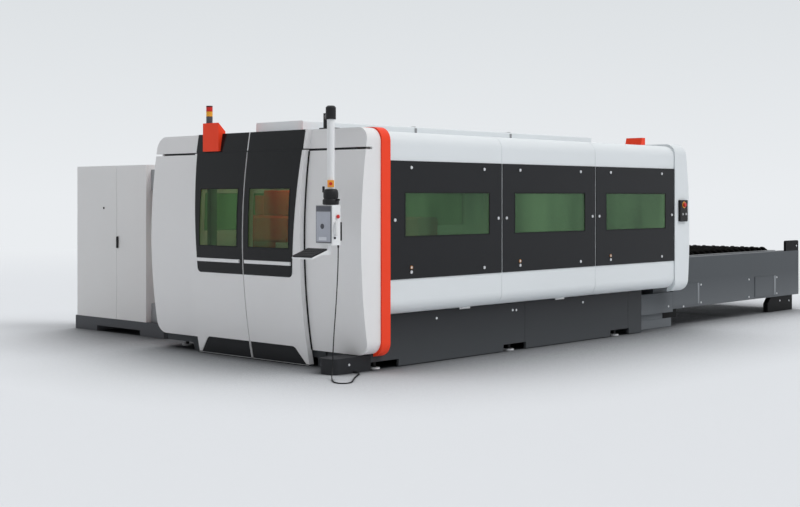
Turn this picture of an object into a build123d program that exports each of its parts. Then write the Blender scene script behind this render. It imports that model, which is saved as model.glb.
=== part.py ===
"""Laser cutting machine: enclosed cutting cabin, shuttle table, control cabinet and hanging terminal.

Layout axes: X runs from the front doors to the shuttle table, Y across, Z up from the floor.
All pieces are laid out from the machine's centre line, then moved so that the footprint is centred.
"""
import os
from math import radians, sqrt, tan
from build123d import *

# Clearances and cutting overrun
FIT = 0.3
SEAM = 4.0
OVERRUN = 20.0

# Cabin cross-section
CABIN_HALF = 1580.0
CABIN_TOP = 2215.0
SKIN_BOTTOM = 500.0
SKIN = 30.0
CORNER_R = 130.0
CORNER_HOOK = 170.0

# Bays along the cabin
HOOP_X = 200.0
HOOP_LENGTH = 115.0
BAY_LENGTH = 1662.0
BAY_COUNT = 3
REAR_HOOP_LENGTH = 333.0
HOOP_PROUD = 15.0
HOOP_WALL = 45.0
HOOP_TOP = 2248.0
HOOP_BOTTOM = 125.0
HOOP_FOOT_HOOK = 112.0
REAR_HOOP_BOTTOM = 455.0
REAR_WALL_BOTTOM = 1020.0
REAR_WALL_INSET = 110.0

# Dark window band on each bay
BAND_BOTTOM = 832.0
BAND_TOP = 1939.0
BAND_PROUD = 8.0
BAND_INSET = 7.0
WINDOW_LENGTH = 1252.0
WINDOW_BOTTOM = 1227.0
WINDOW_TOP = 1643.0
GLASS = 10.0
FASTENER_R = 16.0
FASTENER_PROUD = 7.0
FASTENER_SIDES = 8
FASTENER_INSET_X = 290.0
FASTENER_EDGE_X = 65.0
FASTENER_INSET_Z = 62.0
FASTENER_PAIR = 44.0

# Bulged front: one large arc in side view
FRONT_APEX_X = -56.0
FRONT_APEX_Z = 1195.0
FRONT_R = 5700.0
FRONT_BOTTOM = 150.0
FRONT_TOP = 2240.0
HOOD_BOTTOM = 2058.0
HOOD_GAP = 22.0
GAP_END_X = 90.0
FRONT_HOOK = 260.0

# Sliding doors
DOOR_HALF = 830.0
DOOR_LEAD = 62.0
DOOR_WALL = 58.0
DOOR_MEET = 6.0
DOOR_BOTTOM = 14.0
DOOR_TOP = 2048.0
DOORWAY_HALF = 790.0
DOORWAY_BOTTOM = 190.0
GLASS_PANEL_BOTTOM = 838.0
GLASS_PANEL_TOP_HALF = 806.0
GLASS_PANEL_BOTTOM_HALF = 712.0
GLASS_PANEL_MEET = 10.0
GLASS_PANEL_PROUD = 4.0
GLASS_PANEL_R = 50.0
DOOR_WINDOW_INNER = 85.0
DOOR_WINDOW_OUTER = 676.0
DOOR_WINDOW_BOTTOM = 1109.0
DOOR_WINDOW_TOP = 1684.0
BAR_Z = 967.0
BAR_HEIGHT = 34.0
BAR_DEPTH = 16.0
BAR_INSET = 30.0
KICK_TOP = 176.0
KICK_INNER_HALF = 655.0
KICK_CORNER_R = 70.0
KICK_OUTER_HALF = 790.0
KICK_RECESS = 12.0
RAIL_WIDTH = 14.0
HANGER_LENGTH = 160.0
HANGER_DEPTH = 12.0
HANGER_RISE = 12.0
HANGER_INSET = 60.0
POST_WIDTH = 60.0
POST_DEPTH = 80.0

# Base, skirts and feet
SKIRT_INSET = 100.0
BASE_HALF = CABIN_HALF - SKIRT_INSET
SKIRT = 28.0
SKIRT_GROUND = 8.0
SKIRT_TOP = 500.0
NOTCH_HEIGHT = 75.0
NOTCH_ENDS_X = (549.0, 2132.0, 4087.0)
SKIRT_SEAMS_X = (2492.0, 4452.0)
BASE_FRONT_X = 172.0
BASE_REAR_X = 4738.0
BASE_UNDERSIDE = 80.0
BED_WALL = 300.0
BED_TOP = 940.0
BED_FRONT_X = 640.0
BED_REAR_X = 5240.0
BED_FLOOR = 60.0
FRONT_SILL = 104.0
FRONT_LEG = 70.0
FRONT_LEG_GAP = 55.0
FOOT_XS = (290.0, 2310.0, 4270.0)
FOOT_INSET = 75.0
FOOT_PAD_R = 55.0
FOOT_PAD = 16.0
FOOT_STEM_R = 18.0
CORNER_FOOT_FRONT_X = -300.0
CORNER_FOOT_WIDTH = 205.0
CORNER_FOOT_TOP = 144.0
CORNER_FOOT_LID = 10.0
CORNER_FOOT_LIP = 14.0
CORNER_FOOT_R = 55.0

# Roof duct and signal boxes
DUCT_FRONT_X = 360.0
DUCT_HALF = 352.0
DUCT_TOP = 2360.0
DUCT_EDGE_R = 18.0
BEACON_Y = (420.0, 670.0)
BEACON_FRONT_X = -80.0
BEACON_BACK_X = 10.0
BEACON_BOTTOM = 2062.0
BEACON_TOP = 2350.0
BEACON_SHOULDER = 2264.0
TOWER_X = -34.0
TOWER_Y = 622.0
TOWER_R = 33.0
TOWER_SOCKET = 106.0
TOWER_LENSES = 160.0
TOWER_SOCKET_TOP = BEACON_SHOULDER + TOWER_SOCKET
TOWER_TOP = TOWER_SOCKET_TOP + TOWER_LENSES
TOWER_STEP_SHARES = (0.31, 0.62)
TOWER_NECK = 3.0
REAR_BEACON_Y = (-1026.0, -796.0)
REAR_BEACON_LENGTH = 100.0
REAR_BEACON_TOP = 2338.0
REAR_BEACON_SLOPE = 30.0

# Rear control box
REAR_BOX_X = (5377.0, 5545.0)
REAR_BOX_Z = (1303.0, 1563.0)
REAR_BOX_DEPTH = 30.0
REAR_STOP_Z = 1505.0
REAR_STOP_R = 26.0
REAR_BUTTON_R = 14.0
REAR_BUTTON_Z = 1392.0
REAR_BUTTON_SPREAD = 36.0
BUTTON_PROUD = 22.0
BUTTON_NECK_SHARE = 0.6
BUTTON_TRAVEL = 6.0
PUSH_PROUD = 9.0

# Shuttle table
TABLE_INSET = 240.0
TABLE_HALF = CABIN_HALF - TABLE_INSET
TABLE_COVER = 28.0
TABLE_BEAM = 217.0
BED_INNER = TABLE_HALF - TABLE_COVER - TABLE_BEAM
TABLE_TOP = 838.0
TABLE_BOTTOM = 212.0
TABLE_START_X = 5262.0
TABLE_END_X = 9085.0
APRON_START_X = 4746.0
APRON_END_X = 5660.0
APRON_Z = (180.0, 425.0)
TABLE_BEAM_TOP = 830.0
TABLE_BEAM_BOTTOM = 236.0
CROSS_XS = (5900.0, 7350.0, 8880.0)
CROSS_WIDTH = 120.0
CROSS_Z = (236.0, 330.0)
COVER_PLATE_XS = ((APRON_END_X, 6293.0), (7778.0, 8368.0))
COVER_PLATE_Z = (240.0, 510.0)
COVER_PLATE = 9.0
FLOOR_BEAM_END_X = 5678.0
FLOOR_BEAM_Z = (0.0, 104.0)
BRACKET_X = (5490.0, 5800.0)
TABLE_FOOT_X = (8210.0, 8940.0)
TABLE_FOOT_CHAMFER = 120.0
TABLE_FOOT_WIDTH = 70.0
POST_X = (8695.0, 9080.0)
END_POST_WIDTH = 34.0
END_POST_TOP = 982.0

# Pallets on two levels
PALLET_START_X = 5790.0
PALLET_LENGTH = 3260.0
PALLET_CLEAR = 95.0
PALLET_HALF = BED_INNER - PALLET_CLEAR
PALLET_BEAM = 60.0
PALLET_TOP = 880.0
PALLET_BEAM_TOP = 832.0
PALLET_BEAM_BOTTOM = 736.0
PALLET_DROP = 226.0
PALLET_TRAVEL = 4050.0
SLAT_COUNT = 20
SLAT = 8.0
SLAT_BOTTOM = 750.0
TOOTH_COUNT = 12
TOOTH_HEIGHT = 36.0
TOOTH_TIP_SHARE = 0.12
ROLLER_R = 26.0
ROLLER_WIDTH = 58.0
ROLLER_GAP = 4.0
ROLLER_SHARES = (0.06, 0.36, 0.64, 0.94)
TRACK_START_X = 1640.0
TRACK_END_X = 9055.0
TRACK_WIDTH = 76.0
TRACK_PLATE = 10.0
TRACK_FLANGE = 60.0

# Cutting bridge, carriage and head
RAIL_INSET = 150.0
RAIL_Y = BED_INNER + RAIL_INSET
X_RAIL_WIDTH = 44.0
X_RAIL_HEIGHT = 36.0
BRIDGE_X = 1150.0
BRIDGE_DEPTH = 300.0
BRIDGE_Z = (1105.0, 1400.0)
BRIDGE_SHOE_LENGTH = 420.0
BRIDGE_SHOE_HALF = 60.0
BRIDGE_EDGE_R = 40.0
CARRIAGE_HALF = 150.0
CARRIAGE_DEPTH = 190.0
CARRIAGE_Z = (1120.0, 1560.0)
CARRIAGE_EDGE_R = 30.0
HEAD_R = 52.0
HEAD_TOP = 1420.0
HEAD_SHOULDER_Z = 1085.0
NOZZLE_R = 9.0
NOZZLE_Z = 1012.0
HEAD_TRAVEL = 100.0
HEAD_STANDOFF = 12.0
HEAD_BACK = 60.0

# Control cabinet
CABINET_X = (490.0, 1090.0)
CABINET_Y = (2430.0, 3840.0)
CABINET_Z = (160.0, 1970.0)
CABINET_WALL = 30.0
CABINET_DOOR = 26.0
CABINET_SPLIT_Y = 3017.0
PLINTH_Y = (2100.0, 3875.0)
PLINTH_CUT_Y = (2549.0, 3418.0)
PLINTH_CUT_HEIGHT = 64.0
HANDLE_Y = 2985.0
HANDLE_Z = (1000.0, 1136.0)
HANDLE_WIDTH = 26.0
HANDLE_PROUD = 20.0
HANDLE_STANDOFF = 3.0
PLATE_X = 980.0
PLATE = 12.0
PLATE_INSET = 60.0
MODULE_DEPTH = 160.0
MODULE_GAP = 40.0
MODULE_ROW_SHARES = (0.08, 0.36, 0.64)
MODULE_HEIGHT_SHARE = 0.2
MODULE_COLUMNS = 3
WIREWAY_X = (560.0, 760.0)
WIREWAY_Z = (1675.0, 1915.0)

# Terminal on its roof arm
TUBE_X = -358.0
TUBE_Y = -1500.0
TUBE_R = 34.0
ELBOW_R = 46.0
ELBOW_TOP = 2413.0
ELBOW_BOTTOM = 2292.0
ARM_ROOT_X = 92.0
ARM_ROOT_Y = -994.0
ARM_R = 36.0
ARM_Z = 2352.0
ARM_POST_R = 44.0
ARM_FOOT = 12.0
ARM_FOOT_HALF = 80.0
COUPLING_TOP = 1671.0
COUPLING_R = 62.0
COUPLING_WAIST_R = 48.0
COUPLING_RIBS = 3
LEVER_LENGTH = 46.0
LEVER_R = 8.0
HOUSING_X = (-440.0, -329.0)
HOUSING_Y = (-1601.0, -1396.0)
HOUSING_Z = (1173.0, 1529.0)
HOUSING_R = 12.0
SCREEN_PROUD = 7.0
SCREEN_MARGIN = 5.0
SCREEN_BOTTOM = 1192.0
STOP_X = -376.0
STOP_Z = 1427.0
STOP_R = 17.0
KEY_X = -410.0
KEY_Z = 1238.0
KEY_R = 9.0
KEY_PROUD = 16.0
KEY_BLADE = 4.0
NECK_HALF = 46.0
NECK_DEPTH = 36.0
TRAY_Y = (-1652.0, -1390.0)
TRAY_BACK_X = -528.0
TRAY_BACK_Z = 1138.0
TRAY_DEPTH = 214.0
TRAY = 12.0
TRAY_TILT = 18.0
KEYBOARD_MARGIN = 10.0
KEYBOARD = 15.0
KEY_ROWS = 4
KEY_COLUMNS = 9
KEYCAP_SHARE = 0.74
KEYCAP = 4.0
KEY_FIELD_SHARE = 0.9

# Terminal cable: hangs from the terminal, lies in a loop and enters the corner foot
CABLE_R = 5.0
CABLE_SIDES = 8
GLAND_R = 10.0
BASE_GLAND_DEPTH = 15.0
BASE_GLAND_R = 12.0
CABLE_ROUTE = [
    (-345, -1581, 1145), (-347, -1582, 1010), (-358, -1580, 800), (-372, -1577, 600),
    (-386, -1572, 420), (-397, -1571, 270), (-408, -1577, 150), (-428, -1592, 62),
    (-475, -1632, 14), (-550, -1722, 5.5), (-612, -1812, 5.5), (-618, -1888, 5.5),
    (-556, -1926, 5.5), (-470, -1884, 5.5), (-376, -1800, 5.5), (-262, -1708, 5.5),
    (-160, -1636, 5.5), (-90, -1590, 6), (-52, -1545, 10), (-46, -1496, 13),
]


def block(xs, ys, zs):
    """A box between two X, two Y and two Z values."""
    centre = Pos(sum(xs) / 2, sum(ys) / 2, sum(zs) / 2)
    return centre * Box(xs[1] - xs[0], ys[1] - ys[0], zs[1] - zs[0])


def mirrored(shape):
    """The same piece on the other side of the machine's centre line."""
    return mirror(shape, about=Plane.XZ)


def both_sides(shape):
    """A piece and its twin across the centre line."""
    return [shape, mirrored(shape)]


def front_x(z):
    """Where the bulged front stands at height z."""
    return FRONT_APEX_X + FRONT_R - sqrt(FRONT_R**2 - (z - FRONT_APEX_Z) ** 2)


def front_arc(z0, z1, lead):
    """The front's arc from z0 to z1, moved forward by lead."""
    middle = (z0 + z1) / 2
    points = [(front_x(z) - lead, z) for z in (z0, middle, z1)]
    return ThreePointArc(*points)


def across(face, y0, y1):
    """A face drawn in X and Z, extruded from y0 to y1."""
    return Pos(0, y0, 0) * extrude(Plane.XZ * face, amount=y1 - y0, dir=(0, 1, 0))


def front_slab(zs, lead, wall, ys):
    """A sheet that follows the bulged front."""
    outer = front_arc(zs[0], zs[1], lead)
    inner = front_arc(zs[1], zs[0], lead - wall)
    face = make_face([outer, Line(outer @ 1, inner @ 0), inner, Line(inner @ 1, outer @ 0)])
    return across(face, ys[0], ys[1])


def front_mass(zs, lead, back_x, ys):
    """Everything behind the bulged front, as far as back_x."""
    outer = front_arc(zs[0], zs[1], lead)
    rest = Polyline(outer @ 1, (back_x, zs[1]), (back_x, zs[0]), outer @ 0)
    return across(make_face([outer, *rest.edges()]), ys[0], ys[1])


def contour(half, bottom, top, radius, xs):
    """A rounded rectangle across the machine, extruded along X."""
    face = Plane.YZ * RectangleRounded(2 * half, top - bottom, radius)
    return Pos(xs[0], 0, (bottom + top) / 2) * extrude(face, amount=xs[1] - xs[0])


def hoop(half, bottom, top, radius, wall, xs):
    """A hollow rounded rectangle across the machine."""
    inside = (xs[0] - OVERRUN, xs[1] + OVERRUN)
    outer = contour(half, bottom, top, radius, xs)
    return outer - contour(half - wall, bottom + wall, top - wall, radius - wall, inside)


def upright(radius, z0, z1, x, y):
    """A round bar along Z."""
    return Pos(x, y, (z0 + z1) / 2) * Cylinder(radius, z1 - z0)


def sideways(radius, y0, y1, x, z):
    """A round bar along Y."""
    return Pos(x, (y0 + y1) / 2, z) * Rot(90, 0, 0) * Cylinder(radius, y1 - y0)


def bay_start(index):
    """Where a bay's panels start along X."""
    return HOOP_X + HOOP_LENGTH + index * BAY_LENGTH


BAYS_END_X = bay_start(BAY_COUNT)
REAR_X = BAYS_END_X + REAR_HOOP_LENGTH
BAY_SEAMS = [FIT] + [SEAM / 2] * (BAY_COUNT - 1) + [FIT]
BAY_SPANS = [
    (bay_start(i) + BAY_SEAMS[i], bay_start(i + 1) - BAY_SEAMS[i + 1]) for i in range(BAY_COUNT)
]


def bay_window(span, grow):
    """The X span of a bay's window, grown by an equal margin at each end."""
    middle = sum(span) / 2
    half = WINDOW_LENGTH / 2 + grow
    return (middle - half, middle + half)


def cabin_side_panels():
    panels = []
    for span in BAY_SPANS:
        shell = hoop(CABIN_HALF, SKIN_BOTTOM, CABIN_TOP, CORNER_R, SKIN, span)
        edge = (CABIN_HALF - CORNER_HOOK, CABIN_HALF + OVERRUN)
        shell &= block(span, edge, (0, CABIN_TOP + OVERRUN))
        cut_y = (CABIN_HALF - SKIN - OVERRUN, CABIN_HALF + OVERRUN)
        shell -= block(bay_window(span, 0), cut_y, (WINDOW_BOTTOM, WINDOW_TOP))
        panels += both_sides(shell)
    return panels


def band_panels():
    plates = []
    outer = CABIN_HALF + BAND_PROUD
    for span in BAY_SPANS:
        inset = (span[0] + BAND_INSET, span[1] - BAND_INSET)
        plate = block(inset, (CABIN_HALF, outer), (BAND_BOTTOM, BAND_TOP))
        opening = block(
            bay_window(span, 0), (CABIN_HALF - OVERRUN, outer + OVERRUN), (WINDOW_BOTTOM, WINDOW_TOP)
        )
        plates += both_sides(plate - opening)
    return plates


def cabin_windows():
    panes = []
    face = CABIN_HALF + BAND_PROUD / 2
    for span in BAY_SPANS:
        pane = block(
            bay_window(span, -FIT),
            (face - GLASS, face),
            (WINDOW_BOTTOM + FIT, WINDOW_TOP - FIT),
        )
        panes += both_sides(pane)
    return panes


def band_fasteners():
    heads = []
    face_y = CABIN_HALF + BAND_PROUD
    top = BAND_TOP - FASTENER_INSET_Z
    bottom = BAND_BOTTOM + FASTENER_INSET_Z
    middle = (BAND_BOTTOM + BAND_TOP) / 2
    for start, end in BAY_SPANS:
        places = [
            (start + FASTENER_INSET_X, top), (end - FASTENER_INSET_X, top),
            (start + FASTENER_EDGE_X, middle), (end - FASTENER_EDGE_X, middle),
            (start + FASTENER_INSET_X, bottom), (end - FASTENER_INSET_X, bottom),
            (start + FASTENER_INSET_X, bottom + FASTENER_PAIR),
        ]
        for x, z in places:
            head = extrude(RegularPolygon(FASTENER_R, FASTENER_SIDES), amount=FASTENER_PROUD)
            head = Pos(x, face_y, z) * Rot(-90, 0, 0) * head
            under_wireway = WIREWAY_X[0] < x < WIREWAY_X[1] and WIREWAY_Z[0] < z < WIREWAY_Z[1]
            heads += [mirrored(head)] if under_wireway else both_sides(head)
    return heads


def roof_panels():
    half = CABIN_HALF - CORNER_HOOK - FIT
    return [block(span, (-half, half), (CABIN_TOP - SKIN, CABIN_TOP)) for span in BAY_SPANS]


def roof_duct_covers():
    covers = []
    for index in range(BAY_COUNT):
        start = DUCT_FRONT_X + index * BAY_LENGTH
        span = (start, start + BAY_LENGTH - SEAM)
        cover = block(span, (-DUCT_HALF, DUCT_HALF), (CABIN_TOP, DUCT_TOP))
        long_top = cover.edges().filter_by(Axis.X).group_by(Axis.Z)[-1]
        covers.append(fillet(long_top, DUCT_EDGE_R))
    over_hoop = (BAYS_END_X - FIT, REAR_X)
    covers[-1] -= block(over_hoop, (-CABIN_HALF, CABIN_HALF), (SKIN_BOTTOM, FRONT_TOP + FIT))
    return covers


def accent_hoop():
    span = (HOOP_X, HOOP_X + HOOP_LENGTH)
    half = CABIN_HALF + HOOP_PROUD
    band = hoop(half, HOOP_BOTTOM, HOOP_TOP, CORNER_R, HOOP_WALL, span)
    gap = half - HOOP_FOOT_HOOK
    wide = (span[0] - OVERRUN, span[1] + OVERRUN)
    return band - block(wide, (-gap, gap), (0, HOOP_BOTTOM + HOOP_WALL + OVERRUN))


def rear_x(z):
    """Where the rear hoop ends at height z: it bulges as the front does."""
    return REAR_X + FRONT_APEX_X - front_x(z)


def rear_hoop():
    half = CABIN_HALF + HOOP_PROUD
    span = (BAYS_END_X, REAR_X)
    band = hoop(half, REAR_HOOP_BOTTOM, FRONT_TOP, CORNER_R, HOOP_WALL, span)
    gap = half - HOOP_FOOT_HOOK
    wide = (span[0] - OVERRUN, span[1] + OVERRUN)
    band -= block(wide, (-gap, gap), (0, REAR_HOOP_BOTTOM + HOOP_WALL + OVERRUN))
    zs = (REAR_HOOP_BOTTOM - OVERRUN, FRONT_TOP + OVERRUN)
    edge = ThreePointArc(*[(rear_x(z), z) for z in (zs[0], sum(zs) / 2, zs[1])])
    rest = Polyline(edge @ 1, (span[0] - OVERRUN, zs[1]), (span[0] - OVERRUN, zs[0]), edge @ 0)
    return band & across(make_face([edge, *rest.edges()]), -half - OVERRUN, half + OVERRUN)


def rear_wall():
    half = CABIN_HALF + HOOP_PROUD - HOOP_WALL - FIT
    span = (REAR_X - REAR_WALL_INSET - SKIN, REAR_X - REAR_WALL_INSET)
    top = FRONT_TOP - HOOP_WALL - FIT
    bottom = REAR_HOOP_BOTTOM + HOOP_WALL
    wall = contour(half, bottom, top, CORNER_R - HOOP_WALL, span)
    return wall - block(
        (span[0] - OVERRUN, span[1] + OVERRUN), (-half - OVERRUN, half + OVERRUN), (0, REAR_WALL_BOTTOM)
    )


FRONT_SPAN = (FRONT_APEX_X - OVERRUN, HOOP_X)


def front_shell(zs):
    """The front module's folded sheet between two heights: bulged face, side returns and corners."""
    wide = (-CABIN_HALF - OVERRUN, CABIN_HALF + OVERRUN)
    walls = hoop(CABIN_HALF, FRONT_BOTTOM, FRONT_TOP, CORNER_R, SKIN, FRONT_SPAN)
    walls &= front_mass(zs, 0, HOOP_X, wide)
    face = front_slab(zs, 0, SKIN, wide)
    face &= contour(CABIN_HALF, FRONT_BOTTOM, FRONT_TOP, CORNER_R, FRONT_SPAN)
    return walls + face


def front_side_panels():
    shell = front_shell((FRONT_BOTTOM, HOOD_BOTTOM - HOOD_GAP))
    side = block(
        (FRONT_APEX_X - OVERRUN, HOOP_X + OVERRUN),
        (DOORWAY_HALF, CABIN_HALF + OVERRUN),
        (0, FRONT_TOP + OVERRUN),
    )
    under = block(
        (FRONT_SPAN[0], HOOP_X + OVERRUN),
        (0, CABIN_HALF - FRONT_HOOK),
        (0, FRONT_BOTTOM + SKIN),
    )
    lip_zs = (FRONT_BOTTOM, FRONT_BOTTOM + SKIN + OVERRUN)
    lip = front_slab(lip_zs, 0, SKIN, (DOORWAY_HALF, CABIN_HALF - FRONT_HOOK))
    base_room = block(
        (BASE_FRONT_X, HOOP_X + OVERRUN), (0, BASE_HALF + FIT), (0, SKIRT_TOP + FIT)
    )
    return both_sides((shell & side) - under + lip - base_room)


def front_hood():
    """Hood over the doors: folded shell, raised middle flush with the doors, sides down past the gap."""
    zs = (HOOD_BOTTOM, FRONT_TOP)
    middle = front_slab(zs, DOOR_LEAD, DOOR_LEAD, (-DOOR_HALF, DOOR_HALF))
    ends = hoop(CABIN_HALF, FRONT_BOTTOM, FRONT_TOP, CORNER_R, SKIN, (GAP_END_X, HOOP_X))
    ends &= block(
        (GAP_END_X, HOOP_X),
        (-CABIN_HALF - OVERRUN, CABIN_HALF + OVERRUN),
        (HOOD_BOTTOM - HOOD_GAP + FIT, HOOD_BOTTOM + OVERRUN),
    )
    return front_shell(zs) + middle + ends


def hood_fascia():
    zs = (HOOD_BOTTOM, FRONT_TOP)
    lead = DOOR_LEAD + GLASS_PANEL_PROUD
    return both_sides(front_slab(zs, lead, GLASS_PANEL_PROUD, (GLASS_PANEL_MEET, GLASS_PANEL_TOP_HALF)))


TRACK_FRONT_X = front_x(HOOD_BOTTOM) + SKIN / 2


def front_frame():
    """Door portal behind the front: two posts, a lintel that carries the door track, and a sill."""
    xs = (HOOP_X - POST_DEPTH, HOOP_X - FIT)
    half = DOORWAY_HALF + POST_WIDTH
    sill_bottom = BASE_UNDERSIDE + BED_FLOOR
    posts = block(xs, (DOORWAY_HALF, half), (sill_bottom, HOOD_BOTTOM))
    lintel = block(xs, (-half, half), (DOOR_TOP, HOOD_BOTTOM))
    sill = block(xs, (-half, half), (sill_bottom, DOORWAY_BOTTOM))
    track_half = CABIN_HALF - CORNER_R
    track = block(
        (TRACK_FRONT_X, HOOP_X - POST_DEPTH + OVERRUN),
        (-track_half, track_half),
        (HOOD_BOTTOM - HOOD_GAP + FIT, HOOD_BOTTOM - FIT),
    )
    return posts + mirrored(posts) + lintel + sill + track


def floor_rail():
    """Thin floor track that the door leaves roll along."""
    centre = front_x(DOOR_BOTTOM) - DOOR_LEAD + DOOR_WALL / 2
    half = DOOR_HALF
    return block((centre - RAIL_WIDTH / 2, centre + RAIL_WIDTH / 2), (-half, half), (0, DOOR_BOTTOM - FIT))


def panel_edge(z):
    """Half width of the black door panel at height z: it narrows towards the floor."""
    share = (z - GLASS_PANEL_BOTTOM) / (FRONT_TOP - GLASS_PANEL_BOTTOM)
    return GLASS_PANEL_BOTTOM_HALF + share * (GLASS_PANEL_TOP_HALF - GLASS_PANEL_BOTTOM_HALF)


def front_cutter(corners, radius):
    """A prism along X through the front, from corners given in Y and Z."""
    face = Plane.YZ * make_face(Polyline(*corners, close=True).edges())
    prism = Pos(FRONT_APEX_X - DOOR_LEAD - OVERRUN - BAR_DEPTH, 0, 0) * extrude(
        face, amount=HOOP_X - FRONT_APEX_X + DOOR_LEAD + OVERRUN
    )
    if radius:
        lower = prism.edges().filter_by(Axis.X).sort_by(Axis.Z)[:2].sort_by(Axis.Y)[-1]
        prism = fillet(lower, radius)
    return prism


def door_window_cut(grow):
    """Prism of a door's window, grown by an equal margin all round."""
    inner = DOOR_WINDOW_INNER - grow
    outer = DOOR_WINDOW_OUTER + grow
    low = DOOR_WINDOW_BOTTOM - grow
    high = DOOR_WINDOW_TOP + grow
    return front_cutter([(inner, low), (outer, low), (outer, high), (inner, high)], 0)


def kick_cut():
    """Prism of the dark kick plate, with its slanted outer edge."""
    low = DOOR_BOTTOM - OVERRUN
    slope = (KICK_OUTER_HALF - KICK_INNER_HALF) / (KICK_TOP - DOOR_BOTTOM)
    outer = KICK_OUTER_HALF + slope * OVERRUN
    corners = [
        (GLASS_PANEL_MEET, low), (outer, low), (KICK_INNER_HALF, KICK_TOP), (GLASS_PANEL_MEET, KICK_TOP),
    ]
    prism = front_cutter(corners, 0)
    bend = prism.edges().filter_by(Axis.X).filter_by_position(
        Axis.Y, KICK_INNER_HALF - FIT, KICK_INNER_HALF + FIT
    )
    return fillet(bend, KICK_CORNER_R)


def black_panel_prism():
    low = GLASS_PANEL_BOTTOM
    high = DOOR_TOP + OVERRUN
    corners = [
        (GLASS_PANEL_MEET, low), (panel_edge(low), low), (panel_edge(high), high), (GLASS_PANEL_MEET, high),
    ]
    return front_cutter(corners, GLASS_PANEL_R)


def door_pieces():
    """The pieces of the door leaf on the +Y side, by their own names."""
    leaf_y = (DOOR_MEET, DOOR_HALF)
    leaf = front_slab((DOOR_BOTTOM, DOOR_TOP), DOOR_LEAD, DOOR_WALL, leaf_y)
    leaf -= door_window_cut(0)
    recess_zs = (DOOR_BOTTOM - OVERRUN, KICK_TOP + OVERRUN)
    leaf -= front_slab(recess_zs, DOOR_LEAD + OVERRUN, KICK_RECESS + OVERRUN, (0, DOOR_HALF)) & kick_cut()
    hanger_x = front_x(DOOR_TOP) - DOOR_LEAD + DOOR_WALL - HANGER_DEPTH
    hanger_top = HOOD_BOTTOM - HANGER_RISE / 2
    for y in (DOOR_MEET + HANGER_INSET, DOOR_HALF - HANGER_INSET - HANGER_LENGTH):
        ys = (y, y + HANGER_LENGTH)
        leaf += block((hanger_x, hanger_x + HANGER_DEPTH - FIT), ys, (DOOR_TOP - HANGER_RISE, hanger_top))
        leaf += block((hanger_x, TRACK_FRONT_X - FIT), ys, (DOOR_TOP, hanger_top))
    glass_zs = (GLASS_PANEL_BOTTOM - OVERRUN, DOOR_TOP)
    dark = front_slab(glass_zs, DOOR_LEAD + GLASS_PANEL_PROUD, GLASS_PANEL_PROUD, (0, DOOR_HALF))
    dark &= black_panel_prism()
    dark -= door_window_cut(0)
    kick_lead = DOOR_LEAD - KICK_RECESS / 2
    kick = front_slab((DOOR_BOTTOM, KICK_TOP + OVERRUN), kick_lead, KICK_RECESS / 2, (0, DOOR_HALF))
    kick &= kick_cut()
    pane = front_slab((DOOR_WINDOW_BOTTOM, DOOR_WINDOW_TOP), DOOR_LEAD, GLASS, (0, DOOR_HALF))
    pane &= door_window_cut(-FIT)
    bar_zs = (BAR_Z - BAR_HEIGHT / 2, BAR_Z + BAR_HEIGHT / 2)
    bar_lead = DOOR_LEAD + GLASS_PANEL_PROUD + BAR_DEPTH
    bar_y = (GLASS_PANEL_MEET + BAR_INSET, panel_edge(BAR_Z) - BAR_INSET / 2)
    bar = front_slab(bar_zs, bar_lead, BAR_DEPTH, bar_y)
    bar = fillet(bar.edges().filter_by(Axis.Y).group_by(Axis.X)[0], BAR_DEPTH / 4)
    return {"leaf": [leaf], "dark_panels": [dark, kick], "window": [pane], "pull_bar": [bar]}


def base_frame():
    """Welded machine bed: long box beams, bed walls on top of them and a floor for offcuts."""
    beam_x = (BASE_FRONT_X + FIT, BASE_REAR_X)
    beam = block(beam_x, (BED_INNER, BASE_HALF - SKIRT - FIT), (BASE_UNDERSIDE, SKIRT_TOP))
    wall = block((BED_FRONT_X, BED_REAR_X), (BED_INNER, BED_INNER + BED_WALL), (SKIRT_TOP, BED_TOP))
    side = beam + wall
    floor_z = (BASE_UNDERSIDE, BASE_UNDERSIDE + BED_FLOOR)
    frame = side + mirrored(side) + block(beam_x, (-BED_INNER, BED_INNER), floor_z)
    sill_x = (BASE_FRONT_X - FRONT_SILL, BASE_FRONT_X + OVERRUN)
    sill_y = (CORNER_FOOT_WIDTH + CORNER_FOOT_LIP + FIT - BASE_HALF, BASE_HALF - SKIRT - FIT)
    frame += block(sill_x, sill_y, floor_z)
    leg = block(sill_x, (DOOR_HALF + FRONT_LEG_GAP, DOOR_HALF + FRONT_LEG_GAP + FRONT_LEG), (0, floor_z[1]))
    return frame + leg + mirrored(leg)


def side_skirts():
    plates = []
    starts = (BASE_FRONT_X + FIT, SKIRT_SEAMS_X[0] + SEAM / 2, SKIRT_SEAMS_X[1] + SEAM / 2)
    ends = (SKIRT_SEAMS_X[0] - SEAM / 2, SKIRT_SEAMS_X[1] - SEAM / 2, BASE_REAR_X)
    ys = (BASE_HALF - SKIRT, BASE_HALF)
    cut_y = (ys[0] - OVERRUN, ys[1] + OVERRUN)
    cut_z = (0, NOTCH_HEIGHT)
    notches = [
        block((starts[0] - OVERRUN, NOTCH_ENDS_X[0]), cut_y, cut_z),
        block((NOTCH_ENDS_X[1], ends[0] + OVERRUN), cut_y, cut_z),
        block((NOTCH_ENDS_X[2], ends[1] + OVERRUN), cut_y, cut_z),
    ]
    for start, end in zip(starts, ends):
        plate = block((start, end), ys, (SKIRT_GROUND, SKIRT_TOP))
        for notch in notches:
            plate -= notch
        plates += both_sides(plate)
    return plates


def foot(x, y, top):
    """Levelling foot: round pad with a threaded stem up to its beam."""
    return upright(FOOT_PAD_R, 0, FOOT_PAD, x, y) + upright(FOOT_STEM_R, 0, top, x, y)


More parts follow.
